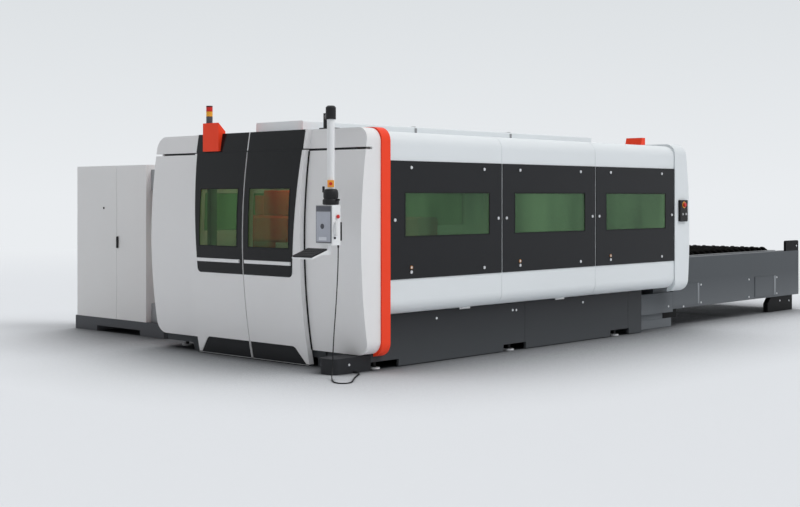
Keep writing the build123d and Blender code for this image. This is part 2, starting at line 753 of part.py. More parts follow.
def levelling_feet():
    feet = []
    for x in FOOT_XS:
        feet += both_sides(foot(x, BASE_HALF - FOOT_INSET, BASE_UNDERSIDE))
    return feet


def corner_foot():
    xs = (CORNER_FOOT_FRONT_X, BASE_FRONT_X)
    ys = (-BASE_HALF, CORNER_FOOT_WIDTH - BASE_HALF)
    body = block(xs, ys, (0, CORNER_FOOT_TOP - CORNER_FOOT_LID))
    body = fillet(body.edges().filter_by(Axis.Z).group_by(Axis.X)[0], CORNER_FOOT_R)
    lid = block(
        xs, (ys[0], ys[1] + CORNER_FOOT_LIP), (CORNER_FOOT_TOP - CORNER_FOOT_LID, CORNER_FOOT_TOP)
    )
    return body + fillet(lid.edges().filter_by(Axis.Z).group_by(Axis.X)[0], CORNER_FOOT_R) + base_gland()


def beacon_housing():
    back = [(front_x(z) - DOOR_LEAD - GLASS_PANEL_PROUD - FIT, z) for z in (FRONT_TOP + FIT, BEACON_BOTTOM)]
    low = (back[1][0] - FIT, BEACON_BOTTOM)
    outline = Polyline(
        (BEACON_FRONT_X, BEACON_BOTTOM), (BEACON_FRONT_X, BEACON_TOP), (BEACON_BACK_X, BEACON_SHOULDER),
        (BEACON_BACK_X, FRONT_TOP + FIT), back[0], low, close=True,
    )
    fascia = front_slab(
        (HOOD_BOTTOM, FRONT_TOP), DOOR_LEAD + GLASS_PANEL_PROUD + FIT, DOOR_LEAD, BEACON_Y
    )
    return across(make_face(outline.edges()), BEACON_Y[0], BEACON_Y[1]) - fascia


def beacon_slope_z(x):
    """Height of the signal box's sloping top at x."""
    share = (x - BEACON_FRONT_X) / (BEACON_BACK_X - BEACON_FRONT_X)
    return BEACON_TOP + share * (BEACON_SHOULDER - BEACON_TOP)


def signal_tower():
    """Stack light: a socket on the sloping lid, then lens rings with a groove between them."""
    stack = upright(TOWER_R, BEACON_SHOULDER, TOWER_TOP, TOWER_X, TOWER_Y)
    slope_x = (BEACON_FRONT_X - OVERRUN, BEACON_BACK_X + OVERRUN)
    lid = Polyline(
        (slope_x[0], beacon_slope_z(slope_x[0])), (slope_x[1], beacon_slope_z(slope_x[1])),
        (slope_x[1], HOOD_BOTTOM), (slope_x[0], HOOD_BOTTOM), close=True,
    )
    stack -= across(make_face(lid.edges()), TOWER_Y - TOWER_R - OVERRUN, TOWER_Y + TOWER_R + OVERRUN)
    for share in (0, *TOWER_STEP_SHARES):
        z = TOWER_SOCKET_TOP + share * (TOWER_TOP - TOWER_SOCKET_TOP)
        ring = upright(TOWER_R + OVERRUN, z, z + TOWER_NECK, TOWER_X, TOWER_Y)
        stack -= ring - upright(TOWER_R - TOWER_NECK, z, z + TOWER_NECK, TOWER_X, TOWER_Y)
    return stack


def rear_beacon():
    end = rear_x(FRONT_TOP)
    start = end - REAR_BEACON_LENGTH
    outline = Polyline(
        (start, FRONT_TOP), (start + REAR_BEACON_SLOPE, REAR_BEACON_TOP), (end, REAR_BEACON_TOP),
        (end, FRONT_TOP), close=True,
    )
    return across(make_face(outline.edges()), REAR_BEACON_Y[0], REAR_BEACON_Y[1])


SIDE_FACE_Y = -CABIN_HALF - HOOP_PROUD
REAR_BOX_FACE_Y = SIDE_FACE_Y - REAR_BOX_DEPTH
REAR_BOX_MIDDLE_X = sum(REAR_BOX_X) / 2


def mushroom(radius, face_y, x, z):
    """Emergency stop cap on a neck, standing on a face that looks towards -Y."""
    neck = sideways(radius * BUTTON_NECK_SHARE, face_y - BUTTON_PROUD, face_y - FIT, x, z)
    cap = sideways(radius, face_y - BUTTON_PROUD, face_y - BUTTON_TRAVEL - FIT, x, z)
    cap = chamfer(cap.edges().group_by(Axis.Y)[0], BUTTON_PROUD / 4)
    return neck + cap


def button_well(radius, face_y, x, z):
    """Well in a face that looks towards -Y, for a button's travel."""
    return sideways(radius + FIT, face_y - OVERRUN, face_y + BUTTON_TRAVEL + FIT, x, z)


def rear_control_box():
    box = block(REAR_BOX_X, (REAR_BOX_FACE_Y, SIDE_FACE_Y), REAR_BOX_Z)
    box = fillet(box.edges().filter_by(Axis.Y), HOUSING_R)
    box -= button_well(REAR_STOP_R * BUTTON_NECK_SHARE, REAR_BOX_FACE_Y, REAR_BOX_MIDDLE_X, REAR_STOP_Z)
    for side in (-1, 1):
        x = REAR_BOX_MIDDLE_X + side * REAR_BUTTON_SPREAD
        box -= button_well(REAR_BUTTON_R, REAR_BOX_FACE_Y, x, REAR_BUTTON_Z)
    return box


def rear_button(side):
    """One push button of the rear control box, left or right of its middle."""
    x = REAR_BOX_MIDDLE_X + side * REAR_BUTTON_SPREAD
    return sideways(REAR_BUTTON_R, REAR_BOX_FACE_Y - PUSH_PROUD, REAR_BOX_FACE_Y - FIT, x, REAR_BUTTON_Z)


def table_frame():
    """Shuttle table frame: two long beams joined by cross beams, with a floor beam to the machine."""
    beam = block(
        (TABLE_START_X, TABLE_END_X - TABLE_COVER),
        (BED_INNER, TABLE_HALF - TABLE_COVER - FIT),
        (TABLE_BEAM_BOTTOM, TABLE_BEAM_TOP),
    )
    runner_y = (BED_INNER, TABLE_HALF - TABLE_COVER - FIT)
    frame = beam + block((BASE_REAR_X + FIT, FLOOR_BEAM_END_X), runner_y, FLOOR_BEAM_Z)
    frame += mirrored(frame)
    for x in CROSS_XS:
        frame += block((x - CROSS_WIDTH / 2, x + CROSS_WIDTH / 2), (-BED_INNER, BED_INNER), CROSS_Z)
    return frame


def table_covers():
    covers = []
    ys = (TABLE_HALF - TABLE_COVER, TABLE_HALF)
    side = block((APRON_END_X, TABLE_END_X), ys, (TABLE_BOTTOM, TABLE_TOP))
    for span in COVER_PLATE_XS:
        side += block(span, (TABLE_HALF, TABLE_HALF + COVER_PLATE), COVER_PLATE_Z)
    covers += both_sides(side)
    apron_y = (ys[0], TABLE_HALF + COVER_PLATE)
    covers += both_sides(block((APRON_START_X, APRON_END_X - SEAM), apron_y, APRON_Z))
    return covers


def table_feet():
    """Bracket between floor beam and table, and a long foot with a chamfered heel at the far end."""
    ys = (TABLE_HALF - TABLE_COVER - TABLE_FOOT_WIDTH, TABLE_HALF - TABLE_COVER - FIT)
    bracket = block(BRACKET_X, (BED_INNER, ys[1]), (FLOOR_BEAM_Z[1], TABLE_BEAM_BOTTOM))
    leg = block(TABLE_FOOT_X, ys, (0, TABLE_BEAM_BOTTOM))
    heel = leg.edges().filter_by(Axis.Y).group_by(Axis.Z)[-1].sort_by(Axis.X)[0]
    return both_sides(bracket) + both_sides(chamfer(heel, TABLE_FOOT_CHAMFER))


def table_end_posts():
    post = block(POST_X, (TABLE_HALF - END_POST_WIDTH, TABLE_HALF), (TABLE_TOP, END_POST_TOP))
    post = fillet(post.edges().filter_by(Axis.Y).group_by(Axis.Z)[-1], TABLE_COVER)
    foot_of_post = block(
        (POST_X[0], POST_X[1] - TABLE_COVER),
        (TABLE_HALF - END_POST_WIDTH, TABLE_HALF - TABLE_COVER - FIT),
        (TABLE_BEAM_TOP, TABLE_TOP),
    )
    return both_sides(post + foot_of_post)


def pallet_tracks():
    """Angle tracks on two levels, fixed to the bed walls and the table beams."""
    tracks = []
    for drop in (0, PALLET_DROP):
        top = PALLET_BEAM_BOTTOM - ROLLER_GAP - drop
        plate = block(
            (TRACK_START_X, TRACK_END_X), (BED_INNER - TRACK_WIDTH, BED_INNER), (top - TRACK_PLATE, top)
        )
        flange = block(
            (TRACK_START_X, TRACK_END_X), (BED_INNER - TRACK_PLATE, BED_INNER), (top - TRACK_FLANGE, top)
        )
        tracks += both_sides(plate + flange)
    return tracks


def pallet_frame(start, drop):
    """Pallet frame with the rollers that carry it on its tracks."""
    zs = (PALLET_BEAM_BOTTOM - drop, PALLET_BEAM_TOP - drop)
    xs = (start, start + PALLET_LENGTH)
    outer = block(xs, (-PALLET_HALF, PALLET_HALF), zs)
    inner_half = PALLET_HALF - PALLET_BEAM
    frame = outer - block(
        (xs[0] + PALLET_BEAM, xs[1] - PALLET_BEAM),
        (-inner_half, inner_half),
        (zs[0] - OVERRUN, zs[1] + OVERRUN),
    )
    roller_z = zs[0] - ROLLER_GAP + FIT + ROLLER_R
    for share in ROLLER_SHARES:
        x = start + share * PALLET_LENGTH
        roller = sideways(ROLLER_R, PALLET_HALF, PALLET_HALF + ROLLER_WIDTH, x, roller_z)
        frame += roller
        frame += mirrored(roller)
    return frame


def pallet_slats(start, drop):
    """Toothed support slats, standing across the pallet."""
    half = PALLET_HALF - PALLET_BEAM - FIT
    pitch = 2 * half / TOOTH_COUNT
    root = PALLET_TOP - TOOTH_HEIGHT - drop
    points = [(half, SLAT_BOTTOM - drop), (-half, SLAT_BOTTOM - drop)]
    for tooth in range(TOOTH_COUNT):
        left = -half + tooth * pitch
        points.append((left, root))
        points.append((left + pitch * (0.5 - TOOTH_TIP_SHARE), PALLET_TOP - drop))
        points.append((left + pitch * (0.5 + TOOTH_TIP_SHARE), PALLET_TOP - drop))
    points.append((half, root))
    slat = extrude(Plane.YZ * make_face(Polyline(*points, close=True).edges()), amount=SLAT)
    step = (PALLET_LENGTH - 2 * PALLET_BEAM) / SLAT_COUNT
    first = start + PALLET_BEAM + (step - SLAT) / 2
    return [Pos(first + index * step, 0, 0) * slat for index in range(SLAT_COUNT)]


def x_rails():
    rail = block(
        (BED_FRONT_X, BED_REAR_X),
        (RAIL_Y - X_RAIL_WIDTH / 2, RAIL_Y + X_RAIL_WIDTH / 2),
        (BED_TOP, BED_TOP + X_RAIL_HEIGHT),
    )
    return both_sides(rail)


def bridge_beam():
    xs = (BRIDGE_X - BRIDGE_DEPTH / 2, BRIDGE_X + BRIDGE_DEPTH / 2)
    half = RAIL_Y + BRIDGE_SHOE_HALF
    beam = block(xs, (-half, half), BRIDGE_Z)
    beam = fillet(beam.edges().filter_by(Axis.Y), BRIDGE_EDGE_R)
    shoe = block(
        (BRIDGE_X - BRIDGE_SHOE_LENGTH / 2, BRIDGE_X + BRIDGE_SHOE_LENGTH / 2),
        (RAIL_Y - BRIDGE_SHOE_HALF, half),
        (BED_TOP + X_RAIL_HEIGHT + FIT, BRIDGE_Z[0] + BRIDGE_EDGE_R + BRIDGE_EDGE_R),
    )
    return beam + shoe + mirrored(shoe)


CARRIAGE_BACK_X = BRIDGE_X - BRIDGE_DEPTH / 2 - FIT
HEAD_X = CARRIAGE_BACK_X - CARRIAGE_DEPTH - HEAD_STANDOFF - HEAD_R


def carriage():
    cover = block(
        (CARRIAGE_BACK_X - CARRIAGE_DEPTH, CARRIAGE_BACK_X), (-CARRIAGE_HALF, CARRIAGE_HALF), CARRIAGE_Z
    )
    return fillet(cover.edges().filter_by(Axis.Z).group_by(Axis.X)[0], CARRIAGE_EDGE_R)


def cutting_head():
    """Cutting head: slim barrel with a tapered nozzle, and a slide plate on the carriage."""
    barrel = upright(HEAD_R, HEAD_SHOULDER_Z, HEAD_TOP, HEAD_X, 0)
    taper = Cone(NOZZLE_R, HEAD_R, HEAD_SHOULDER_Z - NOZZLE_Z)
    taper = Pos(HEAD_X, 0, (NOZZLE_Z + HEAD_SHOULDER_Z) / 2) * taper
    plate = block(
        (HEAD_X, CARRIAGE_BACK_X - CARRIAGE_DEPTH - FIT),
        (-HEAD_BACK, HEAD_BACK),
        (HEAD_SHOULDER_Z + HEAD_TRAVEL, HEAD_TOP),
    )
    return barrel + taper + plate


CABINET_BODY_X = (CABINET_X[0] + CABINET_DOOR + FIT, CABINET_X[1])


def cabinet_body():
    shell = block(CABINET_BODY_X, CABINET_Y, CABINET_Z)
    room = block(
        (CABINET_BODY_X[0] - OVERRUN, CABINET_X[1] - CABINET_WALL),
        (CABINET_Y[0] + CABINET_WALL, CABINET_Y[1] - CABINET_WALL),
        (CABINET_Z[0] + CABINET_WALL, CABINET_Z[1] - CABINET_WALL),
    )
    return shell - room


def cabinet_door(ys):
    zs = (CABINET_Z[0] + SEAM / 2, CABINET_Z[1] - SEAM / 2)
    return block((CABINET_X[0], CABINET_X[0] + CABINET_DOOR), ys, zs)


def cabinet_handle():
    xs = (CABINET_X[0] - HANDLE_PROUD, CABINET_X[0] - HANDLE_STANDOFF)
    ys = (HANDLE_Y - HANDLE_WIDTH / 2, HANDLE_Y + HANDLE_WIDTH / 2)
    lever = block(xs, ys, HANDLE_Z)
    lever = fillet(lever.edges().filter_by(Axis.X), HANDLE_WIDTH / 3)
    pivot_z = HANDLE_Z[1] - HANDLE_WIDTH / 2
    spindle = Pos(CABINET_X[0] - HANDLE_STANDOFF / 2 - FIT / 2, HANDLE_Y, pivot_z) * Rot(0, 90, 0)
    return lever + spindle * Cylinder(HANDLE_WIDTH / 3, HANDLE_STANDOFF - FIT)


def cabinet_plinth():
    plinth = block(CABINET_X, PLINTH_Y, (0, CABINET_Z[0]))
    cut = block(
        (CABINET_X[0] - OVERRUN, CABINET_X[1] + OVERRUN), PLINTH_CUT_Y, (-OVERRUN, PLINTH_CUT_HEIGHT)
    )
    return plinth - cut


def cabinet_modules():
    """Mounting plate with rows of laser and drive modules."""
    ys = (CABINET_Y[0] + PLATE_INSET, CABINET_Y[1] - PLATE_INSET)
    zs = (CABINET_Z[0] + CABINET_WALL, CABINET_Z[1] - PLATE_INSET)
    mount = block((PLATE_X, CABINET_X[1] - CABINET_WALL), ys, zs)
    height = zs[1] - zs[0]
    width = (ys[1] - ys[0]) / MODULE_COLUMNS
    for share in MODULE_ROW_SHARES:
        low = zs[0] + share * height
        for column in range(MODULE_COLUMNS):
            left = ys[0] + column * width + MODULE_GAP / 2
            mount += block(
                (PLATE_X - MODULE_DEPTH, PLATE_X + PLATE),
                (left, left + width - MODULE_GAP),
                (low, low + MODULE_HEIGHT_SHARE * height),
            )
    return mount


def wireway():
    return block(WIREWAY_X, (CABIN_HALF + BAND_PROUD, CABINET_Y[0]), WIREWAY_Z)


def roof_arm():
    """Roof console of the terminal: foot plate, post, slanted arm and the elbow over the tube."""
    plate = block(
        (ARM_ROOT_X - ARM_FOOT_HALF / 2, ARM_ROOT_X + ARM_FOOT_HALF),
        (ARM_ROOT_Y - ARM_FOOT_HALF, ARM_ROOT_Y + ARM_FOOT_HALF),
        (FRONT_TOP, FRONT_TOP + ARM_FOOT),
    )
    post = upright(ARM_POST_R, FRONT_TOP, ARM_Z + ARM_R, ARM_ROOT_X, ARM_ROOT_Y)
    run = Line((ARM_ROOT_X, ARM_ROOT_Y, ARM_Z), (TUBE_X, TUBE_Y, ARM_Z))
    arm = sweep(Plane(origin=run @ 0, z_dir=run % 0) * Circle(ARM_R), path=run)
    elbow = upright(ELBOW_R, ELBOW_BOTTOM, ELBOW_TOP, TUBE_X, TUBE_Y)
    elbow = chamfer(elbow.edges().group_by(Axis.Z)[-1], ELBOW_R / 3)
    return plate + post + arm + elbow


def arm_tube():
    return upright(TUBE_R, COUPLING_TOP + FIT, ELBOW_BOTTOM, TUBE_X, TUBE_Y)


def terminal_coupling():
    """Ribbed swivel coupling with its clamp lever."""
    base = HOUSING_Z[1]
    height = COUPLING_TOP - base
    body = upright(COUPLING_WAIST_R, base, COUPLING_TOP, TUBE_X, TUBE_Y)
    rib = height / (2 * COUPLING_RIBS + 1)
    for index in range(COUPLING_RIBS):
        low = base + (2 * index + 1) * rib
        body += upright(COUPLING_R, low, low + rib, TUBE_X, TUBE_Y)
    lever_z = base + height / 3
    lever = sideways(LEVER_R, TUBE_Y - COUPLING_R - LEVER_LENGTH, TUBE_Y, TUBE_X, lever_z)
    return body + lever


TRAY_PLACE = Pos(TRAY_BACK_X, sum(TRAY_Y) / 2, TRAY_BACK_Z) * Rot(0, -TRAY_TILT, 0)
TRAY_WIDTH = TRAY_Y[1] - TRAY_Y[0]


def terminal_housing():
    housing = block(HOUSING_X, HOUSING_Y, HOUSING_Z)
    housing = fillet(housing.edges().filter_by(Axis.Z), HOUSING_R)
    housing -= button_well(STOP_R * BUTTON_NECK_SHARE, HOUSING_Y[0], STOP_X, STOP_Z)
    middle = sum(HOUSING_Y) / 2
    neck = block(
        (HOUSING_X[0], HOUSING_X[0] + NECK_DEPTH), (middle - NECK_HALF, middle + NECK_HALF),
        (TRAY_BACK_Z - TRAY, HOUSING_Z[0] + NECK_DEPTH),
    )
    shelf = block(
        (TRAY_BACK_X - TRAY_DEPTH / 3, HOUSING_X[0] + NECK_DEPTH),
        (middle - NECK_HALF, middle + NECK_HALF),
        (TRAY_BACK_Z - TRAY - NECK_DEPTH, TRAY_BACK_Z - TRAY),
    )
    shelf -= TRAY_PLACE * block((-TRAY_DEPTH, TRAY), (-TRAY_WIDTH, TRAY_WIDTH), (-TRAY, NECK_DEPTH))
    return housing + neck + shelf


def terminal_screen():
    return block(
        (HOUSING_X[0] - SCREEN_PROUD, HOUSING_X[0]),
        (HOUSING_Y[0] + SCREEN_MARGIN, HOUSING_Y[1] - SCREEN_MARGIN),
        (SCREEN_BOTTOM, HOUSING_Z[1] - SCREEN_MARGIN),
    )


def keyboard_tray():
    tray = block((-TRAY_DEPTH, 0), (-TRAY_WIDTH / 2, TRAY_WIDTH / 2), (-TRAY, 0))
    return TRAY_PLACE * fillet(tray.edges().filter_by(Axis.Z), TRAY)


def keyboard():
    """Keyboard with its keycaps in rows, lying on the tilted tray."""
    xs = (-TRAY_DEPTH + KEYBOARD_MARGIN, -KEYBOARD_MARGIN)
    half = TRAY_WIDTH / 2 - KEYBOARD_MARGIN
    body = block(xs, (-half, half), (FIT, KEYBOARD))
    field_x = (xs[1] - xs[0]) * KEY_FIELD_SHARE
    field_y = 2 * half * KEY_FIELD_SHARE
    pitch_x = field_x / KEY_ROWS
    pitch_y = field_y / KEY_COLUMNS
    for row in range(KEY_ROWS):
        x = sum(xs) / 2 - field_x / 2 + (row + 0.5) * pitch_x
        for column in range(KEY_COLUMNS):
            y = -field_y / 2 + (column + 0.5) * pitch_y
            cap = Box(pitch_x * KEYCAP_SHARE, pitch_y * KEYCAP_SHARE, KEYCAP + KEYCAP)
            body += Pos(x, y, KEYBOARD) * cap
    return TRAY_PLACE * body


def key_switch():
    face = HOUSING_Y[0] - FIT
    barrel = sideways(KEY_R, face - KEY_PROUD / 2, face, KEY_X, KEY_Z)
    blade = block(
        (KEY_X - KEY_BLADE / 2, KEY_X + KEY_BLADE / 2),
        (face - KEY_PROUD, face - KEY_PROUD / 2),
        (KEY_Z - KEY_R, KEY_Z + KEY_R),
    )
    return barrel + blade


GLAND_X = CABLE_ROUTE[0][0]
GLAND_Y = CABLE_ROUTE[0][1]
GLAND_END_Z = CABLE_ROUTE[0][2]
CABLE_END = CABLE_ROUTE[-1]


def terminal_gland():
    low = GLAND_END_Z + FIT
    cone = Cone(GLAND_R * BUTTON_NECK_SHARE, GLAND_R, HOUSING_Z[0] - low)
    return Pos(GLAND_X, GLAND_Y, (low + HOUSING_Z[0]) / 2) * cone


def base_gland():
    return sideways(BASE_GLAND_R, -BASE_HALF - BASE_GLAND_DEPTH, -BASE_HALF, CABLE_END[0], CABLE_END[2])


def corner_radii(points):
    """The largest arc that each corner's two runs allow."""
    radii = []
    for before, here, after in zip(points, points[1:], points[2:]):
        first = Vector(*here) - Vector(*before)
        second = Vector(*after) - Vector(*here)
        turn = radians(first.get_angle(second))
        radii.append(0.45 * min(first.length, second.length) / tan(turn / 2))
    return radii


def terminal_cable():
    radii = corner_radii(CABLE_ROUTE)
    print("cable bend radii:", [round(r) for r in radii])
    path = FilletPolyline(*CABLE_ROUTE, radius=radii)
    section = RegularPolygon(CABLE_R, CABLE_SIDES)
    tube = sweep(Plane(origin=path @ 0, z_dir=path % 0) * section, path=path)
    print("cable length:", round(path.length), "by volume:", round(tube.volume / section.area))
    return tube


def build_nodes():
    """Every node of the machine, in layout axes."""
    nodes = {
        "base_frame": [base_frame()],
        "side_skirts": side_skirts(),
        "levelling_feet": levelling_feet(),
        "corner_foot": [corner_foot()],
        "cabin_side_panels": cabin_side_panels(),
        "band_panels": band_panels(),
        "cabin_windows": cabin_windows(),
        "band_fasteners": band_fasteners(),
        "roof_panels": roof_panels(),
        "roof_duct_covers": roof_duct_covers(),
        "accent_hoop": [accent_hoop()],
        "rear_hoop": [rear_hoop()],
        "rear_wall": [rear_wall()],
        "front_side_panels": front_side_panels(),
        "front_hood": [front_hood()],
        "hood_fascia": hood_fascia(),
        "front_frame": [front_frame(), floor_rail()],
        "beacon_housings": [beacon_housing(), rear_beacon()],
        "signal_tower": [signal_tower()],
        "rear_control_box": [rear_control_box()],
        "rear_stop_button": [mushroom(REAR_STOP_R, REAR_BOX_FACE_Y, REAR_BOX_MIDDLE_X, REAR_STOP_Z)],
        "table_frame": [table_frame()],
        "table_covers": table_covers(),
        "table_feet_and_posts": table_feet() + table_end_posts(),
        "guide_rails": pallet_tracks() + x_rails(),
        "bridge_beam": [bridge_beam()],
        "cutting_carriage": [carriage()],
        "cutting_head": [cutting_head()],
        "cabinet_body": [cabinet_body()],
        "cabinet_plinth": [cabinet_plinth()],
        "cabinet_modules": [cabinet_modules()],
        "wireway": [wireway()],
        "roof_arm": [roof_arm()],
        "arm_tube": [arm_tube()],
        "terminal_coupling": [terminal_coupling()],
        "terminal_housing": [terminal_housing()],
        "terminal_screen": [terminal_screen()],
        "keyboard_tray": [keyboard_tray()],
        "keyboard": [keyboard()],
        "terminal_stop_button": [mushroom(STOP_R, HOUSING_Y[0], STOP_X, STOP_Z)],
        "key_switch": [key_switch()],
        "terminal_gland": [terminal_gland()],
        "terminal_cable": [terminal_cable()],
    }
    for name, side in (("rear_button_left", -1), ("rear_button_right", 1)):
        nodes[name] = [rear_button(side)]
    for name, start, drop in (
        ("outer_pallet", PALLET_START_X, 0),
        ("inner_pallet", PALLET_START_X - PALLET_TRAVEL, PALLET_DROP),
    ):
        nodes[f"{name}_frame"] = [pallet_frame(start, drop)]
        nodes[f"{name}_slats"] = pallet_slats(start, drop)
    for name, shapes in door_pieces().items():
        nodes[f"left_door_{name}"] = shapes
        nodes[f"right_door_{name}"] = [mirrored(shape) for shape in shapes]
    gap = SEAM / 2
    nodes["cabinet_door_near"] = [cabinet_door((CABINET_Y[0] + gap, CABINET_SPLIT_Y - gap))]
    nodes["cabinet_door_far"] = [cabinet_door((CABINET_SPLIT_Y + gap, CABINET_Y[1] - gap))]
    nodes["cabinet_handle"] = [cabinet_handle()]
    return nodes


CORD_NODES = ("terminal_cable",)
NODES = build_nodes()
BOXES = [
    shape.bounding_box() for name, shapes in NODES.items() if name not in CORD_NODES for shape in shapes
]
LOW = [min(box.min.X for box in BOXES), min(box.min.Y for box in BOXES), min(box.min.Z for box in BOXES)]
HIGH = [max(box.max.X for box in BOXES), max(box.max.Y for box in BOXES), max(box.max.Z for box in BOXES)]
SHIFT = (-(LOW[0] + HIGH[0]) / 2, -(LOW[1] + HIGH[1]) / 2, 0)

os.makedirs("parts", exist_ok=True)
for name, shapes in NODES.items():
    placed = [Pos(*SHIFT) * shape for shape in shapes]
    export_step(placed[0] if len(placed) == 1 else Compound(children=placed), f"parts/{name}.step")
print("nodes:", len(NODES), "shift:", [round(value, 3) for value in SHIFT])
print("size:", [round(high - low, 1) for low, high in zip(LOW, HIGH)], "floor:", round(LOW[2], 3))
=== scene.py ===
# %% [markdown]
# # Laser cutting machine
# The construction model arrives as a fixed frame: every panel, door and slat already stands at its
# real place and size. This lesson dresses it. The camera comes first, then the finishes, the one
# loose cable, the small pieces that sit on the panels, and at the end light and floor.

# %% load the frame
import math
import bpy
import bmesh
from mathutils import Matrix, Vector


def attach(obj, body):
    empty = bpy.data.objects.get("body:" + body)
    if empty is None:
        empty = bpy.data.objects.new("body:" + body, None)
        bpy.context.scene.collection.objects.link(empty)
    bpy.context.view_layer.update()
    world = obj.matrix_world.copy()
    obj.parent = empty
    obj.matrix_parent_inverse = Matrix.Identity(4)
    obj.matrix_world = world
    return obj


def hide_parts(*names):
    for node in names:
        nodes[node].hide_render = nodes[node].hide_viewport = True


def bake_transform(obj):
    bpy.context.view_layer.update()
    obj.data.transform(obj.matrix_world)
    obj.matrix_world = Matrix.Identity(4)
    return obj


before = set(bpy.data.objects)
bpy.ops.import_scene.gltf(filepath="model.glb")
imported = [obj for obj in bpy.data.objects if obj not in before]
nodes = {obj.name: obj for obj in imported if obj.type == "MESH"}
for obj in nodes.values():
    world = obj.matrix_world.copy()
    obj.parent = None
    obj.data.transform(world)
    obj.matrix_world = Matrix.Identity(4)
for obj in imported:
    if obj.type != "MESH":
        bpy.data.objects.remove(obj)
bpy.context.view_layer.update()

# %% [markdown]
# ## Places
# The machine is laid out in millimetres from the middle of its doors, as a drawing would be, while
# Blender works in metres round the middle of the footprint. One small function turns a drawing
# place into a Blender place, so that the rest of the file can speak in drawing sizes.

# %% layout helpers
SHIFT_X = -4.176737
SHIFT_Y = -1.1115
MM = 0.001


def at(x, y, z):
    """A drawing place in millimetres as a place in the frame."""
    return Vector((x * MM + SHIFT_X, y * MM + SHIFT_Y, z * MM))


CABIN_HALF = 1580
FIRST_BAY_X = 315
BAY_LENGTH = 1662
BAY_COUNT = 3
bay_starts = [FIRST_BAY_X + index * BAY_LENGTH for index in range(BAY_COUNT)]
print("bays start at", bay_starts)

# %% the bulged front
FRONT_APEX_X = -56
FRONT_APEX_Z = 1195
FRONT_R = 5700
FRONT_TOP_Z = 2240
DOOR_LEAD = 62


def front_x(z):
    """Where the bulged front stands at height z, in drawing millimetres."""
    return FRONT_APEX_X + FRONT_R - math.sqrt(FRONT_R**2 - (z - FRONT_APEX_Z) ** 2)


print("front at the top edge:", round(front_x(FRONT_TOP_Z), 1), "mm")

# %% [markdown]
# ## Camera
# Upright lines are parallel in the picture, so the camera is level and the lens is shifted, as an
# architect's camera is. A tilted camera would make the machine lean. The drop is counted in pixels
# of a picture 800 wide.

# %% camera
CAMERA_PLACE = (-8330, -9790, 1600)
CAMERA_TURN = -46.95
LENS = 58.05
SENSOR_WIDTH = 36
PICTURE_WIDTH = 800
PICTURE_DROP = 56.5
camera_data = bpy.data.cameras.new("camera")
camera = bpy.data.objects.new("camera", camera_data)
bpy.context.collection.objects.link(camera)
bpy.context.scene.camera = camera
camera.location = at(*CAMERA_PLACE)
camera.rotation_euler = (math.radians(90), 0, math.radians(CAMERA_TURN))
camera_data.lens = LENS
camera_data.sensor_width = SENSOR_WIDTH
camera_data.shift_y = -PICTURE_DROP / PICTURE_WIDTH
camera_data.dof.use_dof = False
print("camera at", [round(v, 3) for v in camera.location])

# %% [markdown]
# ## Patterns that several finishes share
# Powder coat is never one flat colour: it drifts slowly over a large panel and has a fine orange
# peel. Both effects are node groups on Object coordinates, so every panel shows the same grain at
# the same scale. An image texture could do this too, but it would need unwrapping and a file.


# %% colour drift group
def drift_group():
    """Slow mottling of a colour: its strength is the third input."""
    group = bpy.data.node_groups.new("colour_drift", "ShaderNodeTree")
    for name, kind, way in (
        ("Colour", "NodeSocketColor", "INPUT"), ("Scale", "NodeSocketFloat", "INPUT"),
        ("Strength", "NodeSocketFloat", "INPUT"), ("Colour", "NodeSocketColor", "OUTPUT"),
    ):
        group.interface.new_socket(name=name, in_out=way, socket_type=kind)
    n = group.nodes
    enter, leave = n.new("NodeGroupInput"), n.new("NodeGroupOutput")
    place = n.new("ShaderNodeTexCoord")
    noise = n.new("ShaderNodeTexNoise")
    noise.inputs["Detail"].default_value = 4
    shift = n.new("ShaderNodeMath")
    shift.operation = "SUBTRACT"
    shift.inputs[1].default_value = 0.5
    gain = n.new("ShaderNodeMath")
    gain.operation = "MULTIPLY_ADD"
    gain.inputs[2].default_value = 1.0
    tint = n.new("ShaderNodeHueSaturation")
    link = group.links.new
    link(place.outputs["Object"], noise.inputs["Vector"])
    link(enter.outputs["Scale"], noise.inputs["Scale"])
    link(noise.outputs["Fac"], shift.inputs[0])
    link(shift.outputs[0], gain.inputs[0])
    link(enter.outputs["Strength"], gain.inputs[1])
    link(gain.outputs[0], tint.inputs["Value"])
    link(enter.outputs["Colour"], tint.inputs["Color"])
    link(tint.outputs["Color"], leave.inputs["Colour"])
    return group


DRIFT = drift_group()
print("node group:", DRIFT.name)


# %% surface grain group
PEEL_DEPTH = 0.0006
ROUGHNESS_SPREAD = 0.12


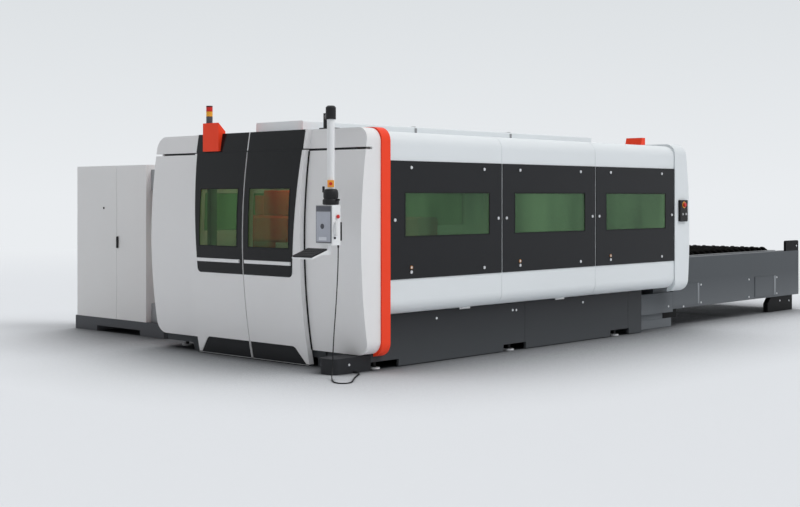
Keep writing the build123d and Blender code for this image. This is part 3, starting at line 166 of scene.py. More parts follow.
def grain_group():
    """Fine orange-peel grain: a bumped normal and a roughness that varies a little."""
    group = bpy.data.node_groups.new("surface_grain", "ShaderNodeTree")
    for name, kind, way in (
        ("Scale", "NodeSocketFloat", "INPUT"), ("Height", "NodeSocketFloat", "INPUT"),
        ("Roughness", "NodeSocketFloat", "INPUT"), ("Normal", "NodeSocketVector", "OUTPUT"),
        ("Roughness", "NodeSocketFloat", "OUTPUT"),
    ):
        group.interface.new_socket(name=name, in_out=way, socket_type=kind)
    n = group.nodes
    enter, leave = n.new("NodeGroupInput"), n.new("NodeGroupOutput")
    place = n.new("ShaderNodeTexCoord")
    noise = n.new("ShaderNodeTexNoise")
    noise.inputs["Detail"].default_value = 2
    bump = n.new("ShaderNodeBump")
    bump.inputs["Distance"].default_value = PEEL_DEPTH
    rough = n.new("ShaderNodeMath")
    rough.operation = "MULTIPLY_ADD"
    rough.inputs[1].default_value = ROUGHNESS_SPREAD
    link = group.links.new
    link(place.outputs["Object"], noise.inputs["Vector"])
    link(enter.outputs["Scale"], noise.inputs["Scale"])
    link(noise.outputs["Fac"], bump.inputs["Height"])
    link(enter.outputs["Height"], bump.inputs["Strength"])
    link(bump.outputs["Normal"], leave.inputs["Normal"])
    link(noise.outputs["Fac"], rough.inputs[0])
    link(enter.outputs["Roughness"], rough.inputs[2])
    link(rough.outputs[0], leave.inputs["Roughness"])
    return group


GRAIN = grain_group()
print("node group:", GRAIN.name)

# %% [markdown]
# ## Finishes
# One function makes every painted, moulded or machined surface from the two groups. What changes
# from finish to finish is the colour, the gloss and how coarse the grain is. The dark paints have
# a low specular level, because otherwise the pale studio would turn them grey.


# %% finish maker
def srgb(r, g, b):
    """A colour read as 0 to 255, made linear."""
    values = [c / 255 for c in (r, g, b)]
    return [c / 12.92 if c <= 0.04045 else ((c + 0.055) / 1.055) ** 2.4 for c in values] + [1.0]


def finish(name, colour, rough=0.4, metal=0.0, grain=120, height=0.15, drift=(0.7, 0.06), specular=0.5):
    """A painted, moulded or machined surface."""
    material = bpy.data.materials.new(name)
    material.use_nodes = True
    n, link = material.node_tree.nodes, material.node_tree.links.new
    shader = n["Principled BSDF"]
    mottled = n.new("ShaderNodeGroup")
    mottled.name = "mottled"
    mottled.node_tree = DRIFT
    mottled.inputs["Colour"].default_value = colour
    mottled.inputs["Scale"].default_value = drift[0]
    mottled.inputs["Strength"].default_value = drift[1]
    surface = n.new("ShaderNodeGroup")
    surface.node_tree = GRAIN
    surface.inputs["Scale"].default_value = grain
    surface.inputs["Height"].default_value = height
    surface.inputs["Roughness"].default_value = rough
    link(mottled.outputs["Colour"], shader.inputs["Base Color"])
    link(surface.outputs["Normal"], shader.inputs["Normal"])
    link(surface.outputs["Roughness"], shader.inputs["Roughness"])
    shader.inputs["Metallic"].default_value = metal
    shader.inputs["Specular IOR Level"].default_value = specular
    return material


# %% paints
LIGHT = finish("light_paint", srgb(234, 234, 235), 0.34, grain=160, specular=0.3)
WHITE = finish("white_paint", srgb(226, 231, 234), 0.32, grain=160, specular=0.3)
TUBE = finish("tube_paint", srgb(234, 236, 238), 0.3, grain=160)
CABINET = finish("cabinet_paint", srgb(232, 232, 232), 0.42, grain=240, height=0.3, specular=0.3)
ACCENT = finish("accent_paint", srgb(248, 70, 38), 0.36, grain=160, specular=0.2)
BAND = finish("band_paint", srgb(27, 28, 31), 0.42, grain=220, drift=(1.1, 0.16), specular=0.22)
FOOT = finish("foot_paint", srgb(38, 39, 42), 0.5, grain=260, height=0.3, specular=0.25)
POST = finish("post_paint", srgb(13, 13, 14), 0.5, grain=260, height=0.3, specular=0.15)
# The wireway and the low duct take a darker grey than the cabinet: partly their own tone, partly painted
# shade where they stand between the cabinet and the machine.
WIREWAY = finish("wireway_paint", srgb(158, 161, 164), 0.45, grain=240, height=0.3, specular=0.25)
FLANGE = finish("flange_paint", srgb(132, 136, 140), 0.5, grain=260, height=0.3, specular=0.25)
PLINTH = finish(
    "plinth_paint", srgb(84, 86, 90), 0.5, grain=260, height=0.3, drift=(0.9, 0.12), specular=0.25,
)
print("paints made:", len(bpy.data.materials))

# %% plastics and metals
PLASTIC = finish(
    "black_plastic", srgb(26, 26, 28), 0.46, grain=500, height=0.25, drift=(4, 0.2), specular=0.3,
)
KEYS = finish(
    "keyboard_plastic", srgb(34, 34, 37), 0.55, grain=600, height=0.3, drift=(60, 0.5), specular=0.3,
)
RUBBER = finish("cable_rubber", srgb(15, 15, 16), 0.55, grain=700, height=0.3, specular=0.3)
GASKET = finish("dark_gasket", srgb(26, 27, 28), 0.6, grain=500, height=0.2, specular=0.2)
STEEL = finish("steel", srgb(150, 152, 154), 0.32, 0.85, grain=180, height=0.12, drift=(3, 0.25))
SCREW = finish("bright_screw", srgb(214, 216, 219), 0.28, 0.4, grain=400, height=0.1, drift=(9, 0.2))
ALLOY = finish("brushed_alloy", srgb(226, 227, 228), 0.3, 0.2, grain=240, height=0.12, drift=(5, 0.12))
SLATS = finish("cut_slats", srgb(40, 38, 37), 0.55, 0.3, grain=90, height=0.5, drift=(5, 0.6), specular=0.2)
RED = finish("stop_red", srgb(206, 30, 24), 0.25, grain=300, height=0.05)
AMBER = finish("amber_plastic", srgb(240, 160, 52), 0.3, grain=300, height=0.05)
MARKER = finish("marker_cap", srgb(186, 128, 62), 0.4, grain=300, height=0.05)
BEZEL = finish("display_frame", srgb(112, 114, 119), 0.35, grain=300, height=0.05)
DIAL = finish("display_dial", srgb(64, 66, 76), 0.3, grain=300, height=0.05)
BUTTON = finish("pale_button", srgb(168, 170, 172), 0.35, grain=300, height=0.05)
print("finishes made:", len(bpy.data.materials))


# %% [markdown]
# ## Tinted glass
# Laser safety glass is a thick green pane: it shows the inside dimly and carries soft upright
# streaks of light. A pure glass shader would need many bounces and stay noisy, so the pane mixes a
# tinted surface with a tinted see-through shader. The streaks are painted reflections: a noise
# stretched along Z.


# %% safety glass
PANE_ROUGHNESS = 0.08
PANE_SPECULAR = 0.3
STREAK_CONTRAST = (0.36, 0.64)


def safety_glass(name, dark, pale, clear_tint, see_through, streaks):
    """A tinted pane: colour streaks on its face, and the inside dimly through it."""
    material = bpy.data.materials.new(name)
    material.use_nodes = True
    n, link = material.node_tree.nodes, material.node_tree.links.new
    pane = n["Principled BSDF"]
    pane.inputs["Roughness"].default_value = PANE_ROUGHNESS
    pane.inputs["Specular IOR Level"].default_value = PANE_SPECULAR
    # Painted reflections: a noise stretched along Z blends the pane's colour from dark to pale.
    place = n.new("ShaderNodeTexCoord")
    stretch = n.new("ShaderNodeMapping")
    stretch.inputs["Scale"].default_value = streaks
    noise = n.new("ShaderNodeTexNoise")
    noise.inputs["Scale"].default_value = 1.0
    noise.inputs["Detail"].default_value = 3
    spread = n.new("ShaderNodeMapRange")
    spread.inputs["From Min"].default_value = STREAK_CONTRAST[0]
    spread.inputs["From Max"].default_value = STREAK_CONTRAST[1]
    blend = n.new("ShaderNodeMix")
    blend.data_type = "RGBA"
    blend.inputs["A"].default_value = dark
    blend.inputs["B"].default_value = pale
    clear = n.new("ShaderNodeBsdfTransparent")
    clear.inputs["Color"].default_value = clear_tint
    mix = n.new("ShaderNodeMixShader")
    mix.inputs["Fac"].default_value = see_through
    link(place.outputs["Object"], stretch.inputs["Vector"])
    link(stretch.outputs["Vector"], noise.inputs["Vector"])
    link(noise.outputs["Fac"], spread.inputs["Value"])
    link(spread.outputs["Result"], blend.inputs["Factor"])
    link(blend.outputs["Result"], pane.inputs["Base Color"])
    link(pane.outputs["BSDF"], mix.inputs[1])
    link(clear.outputs["BSDF"], mix.inputs[2])
    link(mix.outputs["Shader"], n["Material Output"].inputs["Surface"])
    return material


CABIN_TINT = (0.5, 0.78, 0.5, 1)
DOOR_TINT = (0.78, 0.86, 0.62, 1)
CABIN_GLASS = safety_glass(
    "cabin_glass", srgb(50, 70, 51), srgb(92, 122, 88), CABIN_TINT, see_through=0.45, streaks=(1.7, 0, 0.3),
)
DOOR_GLASS = safety_glass(
    "door_glass", srgb(44, 66, 46), srgb(84, 122, 82), DOOR_TINT, see_through=0.62, streaks=(0, 3.5, 0.5),
)
print("glass:", CABIN_GLASS.name, DOOR_GLASS.name)


# %% [markdown]
# ## Finishes in bands
# A stack light is one piece whose lenses change colour with height, a levelling foot has a bright
# pad under a dark stem, and a door leaf has a dark top edge. Instead of cutting the mesh up, the
# colour switches at given heights on the Object coordinates. The skirts, the table and the dark
# door panels use the same idea with a long soft change that makes their lower edges paler: this is
# a painted reflection of the light the floor throws back on them.


# %% banded finish
def banded(name, levels, rough=0.25, specular=0.3, soft=1):
    """A finish that changes at given heights in millimetres, over a soft length below each height."""
    material = finish(name, levels[0][1], rough, grain=200, height=0.05, specular=specular)
    n, link = material.node_tree.nodes, material.node_tree.links.new
    place = n.new("ShaderNodeTexCoord")
    parts = n.new("ShaderNodeSeparateXYZ")
    link(place.outputs["Object"], parts.inputs["Vector"])
    current = None
    for level, colour in levels[1:]:
        above = n.new("ShaderNodeMapRange")
        above.inputs["From Min"].default_value = (level - soft) * MM
        above.inputs["From Max"].default_value = level * MM
        link(parts.outputs["Z"], above.inputs["Value"])
        mix = n.new("ShaderNodeMix")
        mix.data_type = "RGBA"
        mix.inputs["B"].default_value = colour
        if current is None:
            mix.inputs["A"].default_value = levels[0][1]
        else:
            link(current, mix.inputs["A"])
        link(above.outputs["Result"], mix.inputs["Factor"])
        current = mix.outputs["Result"]
    link(current, n["mottled"].inputs["Colour"])
    return material


# %% finishes that change with height
AMBER_FROM = 2421
RED_FROM = 2471
CAP_FROM = 2516
STEM_FROM = 17
LEAF_EDGE_FROM = 2046
# Heights where the painted reflection of the floor's light fades out on the skirts, table and dark door
# panels.
SKIRT_FLOOR_SHEEN_TOP = 500
TABLE_FLOOR_SHEEN_TOP = 560
DOOR_FLOOR_SHEEN_TOP = 420
TOWER = banded("tower_lenses", [
    (0, srgb(78, 80, 88)), (AMBER_FROM, srgb(238, 172, 52)), (RED_FROM, srgb(206, 40, 34)),
    (CAP_FROM, srgb(84, 30, 30)),
])
FEET = banded("levelling_foot", [(0, srgb(196, 198, 200)), (STEM_FROM, srgb(30, 30, 32))], 0.35)
LEAF = banded("door_paint", [(0, srgb(234, 234, 235)), (LEAF_EDGE_FROM, srgb(24, 24, 26))], 0.34)
BASE = banded(
    "base_paint", [(0, srgb(68, 71, 74)), (SKIRT_FLOOR_SHEEN_TOP, srgb(36, 37, 40))], 0.5,
    specular=0.25, soft=500,
)
TABLE = banded(
    "table_paint", [(0, srgb(104, 108, 112)), (TABLE_FLOOR_SHEEN_TOP, srgb(78, 82, 86))], 0.5,
    specular=0.25, soft=500,
)
GLOSS = banded(
    "black_gloss", [(0, srgb(50, 51, 53)), (DOOR_FLOOR_SHEEN_TOP, srgb(23, 24, 26))], 0.12,
    specular=0.2, soft=300,
)
print("banded finishes:", [m.name for m in (TOWER, FEET, LEAF, BASE, TABLE, GLOSS)])

# %% paint the CAD nodes
DOORS = ("left_door", "right_door")
PAINT = {
    LIGHT: ["front_side_panels", "front_hood"],
    LEAF: [door + "_leaf" for door in DOORS],
    ALLOY: [door + "_pull_bar" for door in DOORS],
    CABINET: ["cabinet_body", "cabinet_door_near", "cabinet_door_far"],
    WIREWAY: ["wireway"],
    WHITE: ["cabin_side_panels", "rear_hoop", "rear_wall", "roof_panels", "roof_duct_covers"],
    TUBE: ["arm_tube", "terminal_housing", "keyboard_tray"],
    BAND: ["band_panels"],
    FOOT: ["corner_foot"],
    ACCENT: ["accent_hoop", "beacon_housings", "bridge_beam", "cutting_carriage"],
    GLOSS: [*(door + "_dark_panels" for door in DOORS), "hood_fascia"],
    BEZEL: ["terminal_screen"],
    CABIN_GLASS: ["cabin_windows"],
    DOOR_GLASS: [door + "_window" for door in DOORS],
    BASE: ["base_frame", "side_skirts", "front_frame"],
    PLINTH: ["cabinet_plinth"],
    TABLE: ["table_frame", "table_covers"],
    POST: ["table_feet_and_posts"],
    PLASTIC: ["roof_arm", "terminal_coupling", "rear_control_box", "key_switch", "cabinet_handle"],
    KEYS: ["keyboard"],
    BUTTON: ["rear_button_left", "rear_button_right"],
    FEET: ["levelling_feet"],
    SCREW: ["band_fasteners"],
    STEEL: ["guide_rails", "outer_pallet_frame", "inner_pallet_frame", "cutting_head", "cabinet_modules"],
    SLATS: ["outer_pallet_slats", "inner_pallet_slats"],
    RED: ["terminal_stop_button", "rear_stop_button"],
    TOWER: ["signal_tower"],
    RUBBER: ["terminal_gland", "terminal_cable"],
}
for material, names in PAINT.items():
    for name in names:
        nodes[name].data.materials.clear()
        nodes[name].data.materials.append(material)
unpainted = set(nodes) - {name for names in PAINT.values() for name in names}
print("nodes without a finish:", sorted(unpainted))

# %% [markdown]
# ## Cable
# One cable hangs from the terminal, lies on the floor in a loose bend and ends in the corner foot.
# It is a NURBS spline through a given route, because a spline of order three bends like a
# real cable.

# %% cable route
CABLE_ROUTE = [
    (-345, -1581, 1145), (-347, -1582, 1010), (-358, -1580, 800), (-372, -1577, 600),
    (-386, -1572, 420), (-397, -1571, 270), (-408, -1577, 150), (-428, -1592, 62),
    (-475, -1632, 14), (-550, -1722, 5.5), (-612, -1812, 5.5), (-618, -1888, 5.5),
    (-556, -1926, 5.5), (-470, -1884, 5.5), (-376, -1800, 5.5), (-262, -1708, 5.5),
    (-160, -1636, 5.5), (-90, -1590, 6), (-52, -1545, 10), (-46, -1496, 13),
]
CABLE_R = 5


def cable_curve(depth):
    """The route as a mesh: a line for a depth of zero, otherwise a tube."""
    curve = bpy.data.curves.new("cable_line", "CURVE")
    curve.dimensions = "3D"
    spline = curve.splines.new("NURBS")
    spline.points.add(len(CABLE_ROUTE) - 1)
    for point, place in zip(spline.points, CABLE_ROUTE):
        point.co = (*at(*place), 1)
    spline.order_u = 3
    spline.use_endpoint_u = True
    spline.resolution_u = 8
    curve.bevel_depth = depth
    curve.bevel_resolution = 3
    curve.use_fill_caps = True
    obj = bpy.data.objects.new("cable_line", curve)
    bpy.context.collection.objects.link(obj)
    bpy.context.view_layer.update()
    mesh = bpy.data.meshes.new_from_object(obj.evaluated_get(bpy.context.evaluated_depsgraph_get()))
    bpy.data.objects.remove(obj)
    return mesh


path = [vertex.co.copy() for vertex in cable_curve(0).vertices]

# %% cable tube
tube = cable_curve(CABLE_R * MM)
tube.shade_smooth()
tube.materials.clear()
tube.materials.append(RUBBER)
cable = bpy.data.objects.new("terminal_cable_tube", tube)
bpy.context.collection.objects.link(cable)
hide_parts("terminal_cable")
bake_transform(cable)
print("cable tube faces:", len(tube.polygons))

# %% [markdown]
# ## Tools for small pieces
# The pieces that follow are small hardware: screws, seals, straps and handles. Most start from one
# bmesh shape, are moved to their drawing place and get their edges bevelled, so that they catch the
# light as real edges do. All pieces that look alike on one body share one mesh.


# %% finish a mesh
SHARP_ANGLE = 35


def add_mesh(name, bm, material, body):
    """A new piece from a finished bmesh, which moves with a CAD body."""
    bmesh.ops.recalc_face_normals(bm, faces=bm.faces[:])
    mesh = bpy.data.meshes.new(name)
    bm.to_mesh(mesh)
    bm.free()
    mesh.shade_smooth()
    mesh.set_sharp_from_angle(angle=math.radians(SHARP_ANGLE))
    obj = bpy.data.objects.new(name, mesh)
    bpy.context.collection.objects.link(obj)
    mesh.materials.append(material)
    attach(obj, body)
    print(name, "faces:", len(mesh.polygons))
    return obj


print("edges over", SHARP_ANGLE, "degrees stay sharp")


# %% bevelled block
FINE_EDGE = 2
SHEET_EDGE = 3


def sided(span, side):
    """A span across the machine, on the window side for -1 and on the far side for 1."""
    return sorted(side * y for y in span)


def soften(bm, verts, width, segments=2):
    """Round the edges between the given vertices."""
    chosen = set(verts)
    edges = [e for e in bm.edges if e.verts[0] in chosen and e.verts[1] in chosen]
    bmesh.ops.bevel(
        bm, geom=edges, offset=width * MM, offset_type="OFFSET", segments=segments, profile=0.5,
        affect="EDGES", material=-1, clamp_overlap=True,
    )


def add_block(bm, xs, ys, zs, width, segments=2):
    """A block between drawing places, with rounded edges."""
    low, high = at(xs[0], ys[0], zs[0]), at(xs[1], ys[1], zs[1])
    verts = bmesh.ops.create_cube(bm, size=1)["verts"]
    bmesh.ops.scale(bm, vec=high - low, verts=verts)
    bmesh.ops.translate(bm, vec=(low + high) / 2, verts=verts)
    soften(bm, verts, width, segments)


print("roundings:", FINE_EDGE, "mm for fine edges and", SHEET_EDGE, "mm for sheets")


# %% screw head
TO_WINDOW_SIDE = Matrix.Rotation(math.radians(90), 3, "X")
TO_FRONT = Matrix.Rotation(math.radians(-90), 3, "Y")
RIM_SHARE = 0.45
SINK_SHARE = 0.35
ROUND_SHARE = 0.3


def add_stud(bm, place, radius, height, turn=TO_WINDOW_SIDE, sides=14):
    """A round head that stands on a face, with a rounded rim and a hollow in its top."""
    head = bmesh.new()
    bmesh.ops.create_cone(
        head, cap_ends=True, segments=sides, radius1=radius * MM, radius2=radius * MM, depth=height * MM,
    )
    bmesh.ops.translate(head, vec=(0, 0, height * MM / 2), verts=head.verts[:])
    top = max(head.faces, key=lambda f: f.calc_center_median().z)
    rim = list(top.edges)
    bmesh.ops.inset_region(head, faces=[top], thickness=radius * MM * RIM_SHARE)
    bmesh.ops.translate(head, vec=(0, 0, -height * MM * SINK_SHARE), verts=list(top.verts))
    bmesh.ops.bevel(
        head, geom=rim, offset=height * MM * ROUND_SHARE, offset_type="OFFSET", segments=2, profile=0.5,
        affect="EDGES", material=-1, clamp_overlap=True,
    )
    bmesh.ops.rotate(head, cent=(0, 0, 0), matrix=turn, verts=head.verts[:])
    bmesh.ops.translate(head, vec=at(*place), verts=head.verts[:])
    joined = bpy.data.meshes.new("stud")
    head.to_mesh(joined)
    head.free()
    bm.from_mesh(joined)
    bpy.data.meshes.remove(joined)


def studs(name, places, radius, height, material, body, slot, turn=TO_WINDOW_SIDE):
    """All heads of one kind on one body."""
    bm = bmesh.new()
    for place in places:
        add_stud(bm, place, radius, height, turn)
    return add_mesh(name, bm, material, body)


print("stud: rim", RIM_SHARE, "of the radius, hollow", SINK_SHARE, "of the height")

# %% [markdown]
# ## Screws and markers
# Screw heads hold the skirts, the table covers and the corner foot, and an amber marker sits over
# one lower screw of each window band. They are only a pixel or two wide in the picture, but the
# eye misses them at once: bright dots tell that a dark sheet is bolted on. A small lock sits on the
# far door of the cabinet.

# %% screws
SKIRT_FACE = -1480
TABLE_FACE = -1340
FOOT_FACE = -1311
APRON_FACE = -1349
SCREW_SIZE = (13, 6)
FOOT_SCREW_PLACE = (-110, SKIRT_FACE, 80)
FOOT_SCREW_SIZE = (11, 5)
skirt_places = [(x, SKIRT_FACE, z) for x, z in ((1086, 421), (2281, 423), (2342, 420), (3543, 430))]
studs("skirt_screws", skirt_places, *SCREW_SIZE, SCREW, "machine", "steel")
table_places = [(x, TABLE_FACE, z) for x, z in (
    (6352, 480), (6352, 252), (7615, 486), (7615, 250), (8416, 481), (8416, 256), (5925, 228), (9015, 904),
)]
foot_places = [(x, FOOT_FACE, z) for x, z in ((8565, 145), (8839, 131))]
apron_places = [(5554, APRON_FACE, 252)]
table_places += foot_places + apron_places
studs("table_screws", table_places, *SCREW_SIZE, SCREW, "machine", "steel")
studs("corner_foot_screw", [FOOT_SCREW_PLACE], *FOOT_SCREW_SIZE, SCREW, "machine", "steel")

# %% amber markers
BAND_FACE = -1588
MARKER_X = 290
MARKER_Z = 938
MARKER_SIZE = (17, 10)
marker_places = [(start + MARKER_X, BAND_FACE, MARKER_Z) for start in bay_starts]
studs("band_markers", marker_places, *MARKER_SIZE, MARKER, "machine", "lens")

# %% cabinet lock
LOCK_PLACE = (490, 3275, 1469)
LOCK_SIZE = (14, 5)
studs("cabinet_lock", [LOCK_PLACE], *LOCK_SIZE, PLASTIC, "cabinet_far_door", "black_plastic", TO_FRONT)

# %% [markdown]
# ## Seals
# Rubber seals frame the panes and close the outer edges of the sliding doors: these are the thin
# dark lines in the picture. The dark seal on each door's outer edge also stands in for the shadow
# gap behind the door there, so it is partly painted shade. The cabin seals are flat rings, made by
# insetting one face. The door seals follow the bulge, so a small rectangle is spun about the
# bulge's own centre.


# %% seal makers
def add_ring(bm, xs, zs, y, width, depth):
    """A flat ring round a window that looks along Y, standing out by depth."""
    low, high = at(xs[0], y, zs[0]), at(xs[1], y, zs[1])
    made = bmesh.ops.create_grid(bm, x_segments=1, y_segments=1, size=0.5)["verts"]
    bmesh.ops.scale(bm, vec=(high.x - low.x, high.z - low.z, 1), verts=made)
    bmesh.ops.rotate(bm, cent=(0, 0, 0), matrix=TO_WINDOW_SIDE, verts=made)
    bmesh.ops.translate(bm, vec=(low + high) / 2, verts=made)
    pane = made[0].link_faces[0]
    ring = bmesh.ops.inset_region(
        bm, faces=[pane], thickness=width * MM, use_even_offset=True, use_boundary=True,
    )["faces"]
    bmesh.ops.delete(bm, geom=[pane], context="FACES_ONLY")
    bmesh.ops.solidify(bm, geom=ring, thickness=depth * MM)


def add_front_strip(bm, ys, zs, lead, thick, steps=12):
    """A strip that follows the bulged front: a rectangle spun about the bulge's centre."""
    x = front_x(zs[0]) - lead
    corners = [bm.verts.new(at(*c, zs[0])) for c in (
        (x, ys[0]), (x + thick, ys[0]), (x + thick, ys[1]), (x, ys[1]),
    )]
    edges = [bm.edges.new((corners[i - 1], corners[i])) for i in range(4)]
    turn = [math.asin((z - FRONT_APEX_Z) / FRONT_R) for z in zs]
    before = set(bm.edges)
    bmesh.ops.spin(
        bm, geom=corners + edges, cent=at(FRONT_APEX_X + FRONT_R - lead, 0, FRONT_APEX_Z), axis=(0, 1, 0),
        angle=turn[1] - turn[0], steps=steps, use_merge=False, use_duplicate=False,
    )
    fresh = edges + [e for e in bm.edges if e not in before]
    bmesh.ops.holes_fill(bm, edges=[e for e in fresh if e.is_valid and e.is_boundary], sides=4)


print("strips follow a bulge of", FRONT_R, "mm radius")

# %% cabin window seals
WINDOW_LENGTH = 1252
WINDOW_Z = (1227, 1643)
SEAL_WIDTH = 12
SEAL_DEPTH = 3
SEAL_FACE = CABIN_HALF + 9.5
bm = bmesh.new()
for start in bay_starts:
    middle = start + BAY_LENGTH / 2
    xs = (middle - WINDOW_LENGTH / 2 - SEAL_WIDTH / 2, middle + WINDOW_LENGTH / 2 + SEAL_WIDTH / 2)
    zs = (WINDOW_Z[0] - SEAL_WIDTH / 2, WINDOW_Z[1] + SEAL_WIDTH / 2)
    for side in (-1, 1):
        add_ring(bm, xs, zs, side * SEAL_FACE, SEAL_WIDTH, SEAL_DEPTH)
add_mesh("cabin_window_seals", bm, GASKET, "machine")

# %% door seals
DOOR_HALF = 830
DOOR_WINDOW_Y = (85, 676)
DOOR_WINDOW_Z = (1109, 1684)
EDGE_SEAL_Y = (DOOR_HALF, DOOR_HALF + 11)
EDGE_SEAL_Z = (152, 2034)
EDGE_SEAL_LEAD = 12
EDGE_SEAL_THICK = 9
EDGE_SEAL_STEPS = 24
PANE_SEAL_HALF = 5
PANE_SEAL_LEAD = DOOR_LEAD + 6
PANE_SEAL_THICK = 3
PANE_SEAL_EDGE = 1
for door, side in (("left_door", 1), ("right_door", -1)):
    bm = bmesh.new()
    edge_ys = [side * y for y in EDGE_SEAL_Y]
    # Painted shade in part: the dark edge seal also stands for the shadow gap behind the door's outer edge.
    add_front_strip(bm, edge_ys, EDGE_SEAL_Z, EDGE_SEAL_LEAD, EDGE_SEAL_THICK, EDGE_SEAL_STEPS)
    add_mesh(door + "_edge_seal_and_gap_shade", bm, GASKET, door)
    bm = bmesh.new()
    for y in DOOR_WINDOW_Y:
        ys = (side * (y - PANE_SEAL_HALF), side * (y + PANE_SEAL_HALF))
        add_front_strip(bm, ys, DOOR_WINDOW_Z, PANE_SEAL_LEAD, PANE_SEAL_THICK)
    ys = sided((DOOR_WINDOW_Y[0] - PANE_SEAL_HALF, DOOR_WINDOW_Y[1] + PANE_SEAL_HALF), side)
    for z in DOOR_WINDOW_Z:
        x = front_x(z) - PANE_SEAL_LEAD
        zs = (z - PANE_SEAL_HALF, z + PANE_SEAL_HALF)
        add_block(bm, (x, x + PANE_SEAL_THICK), ys, zs, PANE_SEAL_EDGE)
    add_mesh(door + "_window_seal", bm, GASKET, door)

# %% hood seal
FASCIA_LEAD = DOOR_LEAD + 4
FASCIA_Y = (6, 802)
FASCIA_Z = (2049, 2059)
FASCIA_THICK = 4
FASCIA_STEPS = 2
bm = bmesh.new()
for side in (-1, 1):
    add_front_strip(bm, [side * y for y in FASCIA_Y], FASCIA_Z, FASCIA_LEAD, FASCIA_THICK, FASCIA_STEPS)
add_mesh("hood_seal", bm, GLOSS, "machine")

# %% [markdown]
# ## Straps and latches
# A strap covers each joint of the roof duct, and flat latches hold the lower edges of the side
# panels. A latch is a rounded block with a smaller one on it, which reads as a lever on a plate.
# Folded flanges end the table's cover sheets, an infill stands under the rear apron, and a throat
# plate leads the duct over the hoop.

# %% duct straps
DUCT_FRONT_X = 360
DUCT_HALF = 352
DUCT_Z = (2215, 2360)
STRAP_INSET = 14
STRAP_WIDTH = 34
STRAP_TOP = 5
STRAP_SIDE = 6
STRAP_LIFT = 4
bm = bmesh.new()
for index in (1, 2):
    x = DUCT_FRONT_X + index * BAY_LENGTH
    xs = (x - STRAP_WIDTH / 2, x + STRAP_WIDTH / 2)
    top_ys = (-DUCT_HALF + STRAP_INSET, DUCT_HALF - STRAP_INSET)
    add_block(bm, xs, top_ys, (DUCT_Z[1], DUCT_Z[1] + STRAP_TOP), FINE_EDGE)
    for side in (-1, 1):
        ys = sided((DUCT_HALF, DUCT_HALF + STRAP_SIDE), side)
        add_block(bm, xs, ys, (DUCT_Z[0] + STRAP_LIFT, DUCT_Z[1] - STRAP_INSET), FINE_EDGE)
add_mesh("duct_straps", bm, STEEL, "machine")

# %% panel latches
LATCH_PLACES = (1508, 3106)
PLATE_HALF = 80
PLATE_Y = (1478, 1488)
PLATE_Z = (486, 510)
LATCH_REACH = (-64, 30)
LATCH_Y = (1488, 1500)
LATCH_Z = (490, 505)
LATCH_EDGE = 4
bm = bmesh.new()
for x in LATCH_PLACES:
    for side in (-1, 1):
        add_block(bm, (x - PLATE_HALF, x + PLATE_HALF), sided(PLATE_Y, side), PLATE_Z, SHEET_EDGE)
        add_block(bm, [x + reach for reach in LATCH_REACH], sided(LATCH_Y, side), LATCH_Z, LATCH_EDGE)
add_mesh("panel_latches", bm, ALLOY, "machine")

# %% table cover flanges
FLANGE_SPANS = ((6250, 6293), (8312, 8368))
FLANGE_Y = (1348, 1353)
FLANGE_Z = (244, 506)
bm = bmesh.new()
for xs in FLANGE_SPANS:
    for side in (-1, 1):
        add_block(bm, xs, sided(FLANGE_Y, side), FLANGE_Z, FINE_EDGE)
add_mesh("cover_flanges", bm, FLANGE, "machine")

# %% apron infill
INFILL_X = (4750, 5486)
INFILL_Y = (1296, 1308)
INFILL_Z = (98, 190)
bm = bmesh.new()
for side in (-1, 1):
    add_block(bm, INFILL_X, sided(INFILL_Y, side), INFILL_Z, SHEET_EDGE)
add_mesh("apron_infill", bm, TABLE, "machine")

# %% duct throat
THROAT_X = (204, 366)
THROAT_HALF = 336
THROAT_Z = (2246, 2252)
bm = bmesh.new()
add_block(bm, THROAT_X, (-THROAT_HALF, THROAT_HALF), THROAT_Z, FINE_EDGE)
add_mesh("duct_throat", bm, WHITE, "machine")

# %% [markdown]
# ## Floor track, legs, low duct and bridge cover
# A dark track lies under the doors; its dark strip also stands in for the shadow line at their foot,
# which is painted shade. Its bright alloy lip is partly a painted highlight of the rail's edge. A
# leg beside each door carries the front. The legs are spun with the bulge, so that a door can slide
# past in front of them. A low duct stands on the plinth beside the cabinet, and a stepped cover on
# the far end of the bridge.

# %% floor track
DOOR_FOOT_Z = 14
TRACK_X = front_x(DOOR_FOOT_Z) - DOOR_LEAD
TRACK_REACH = (-20, -2)
TRACK_Z = (0, 6)
LIP_REACH = (-8, -3)
LIP_Z = (6, 9)
LIP_EDGE = 1
bm = bmesh.new()
# Painted shade: the dark strip stands in for the shadow line at the doors' foot as well as the track.
add_block(bm, [TRACK_X + reach for reach in TRACK_REACH], (-DOOR_HALF, DOOR_HALF), TRACK_Z, FINE_EDGE)
add_mesh("floor_track_shade_strip", bm, GASKET, "machine")
bm = bmesh.new()
# The bright lip is partly a painted highlight of the rail's edge.
add_block(bm, [TRACK_X + reach for reach in LIP_REACH], (-DOOR_HALF, DOOR_HALF), LIP_Z, LIP_EDGE)
add_mesh("floor_track_lip", bm, ALLOY, "machine")

# %% front legs
LEG_Y = (885, 1005)
LEG_Z = (2, 158)
LEG_BACK = 8
LEG_DEPTH = 90
LEG_STEPS = 4
bm = bmesh.new()
for side in (-1, 1):
    add_front_strip(bm, sided(LEG_Y, side), LEG_Z, -LEG_BACK, LEG_DEPTH, LEG_STEPS)
add_mesh("front_legs", bm, BASE, "machine")

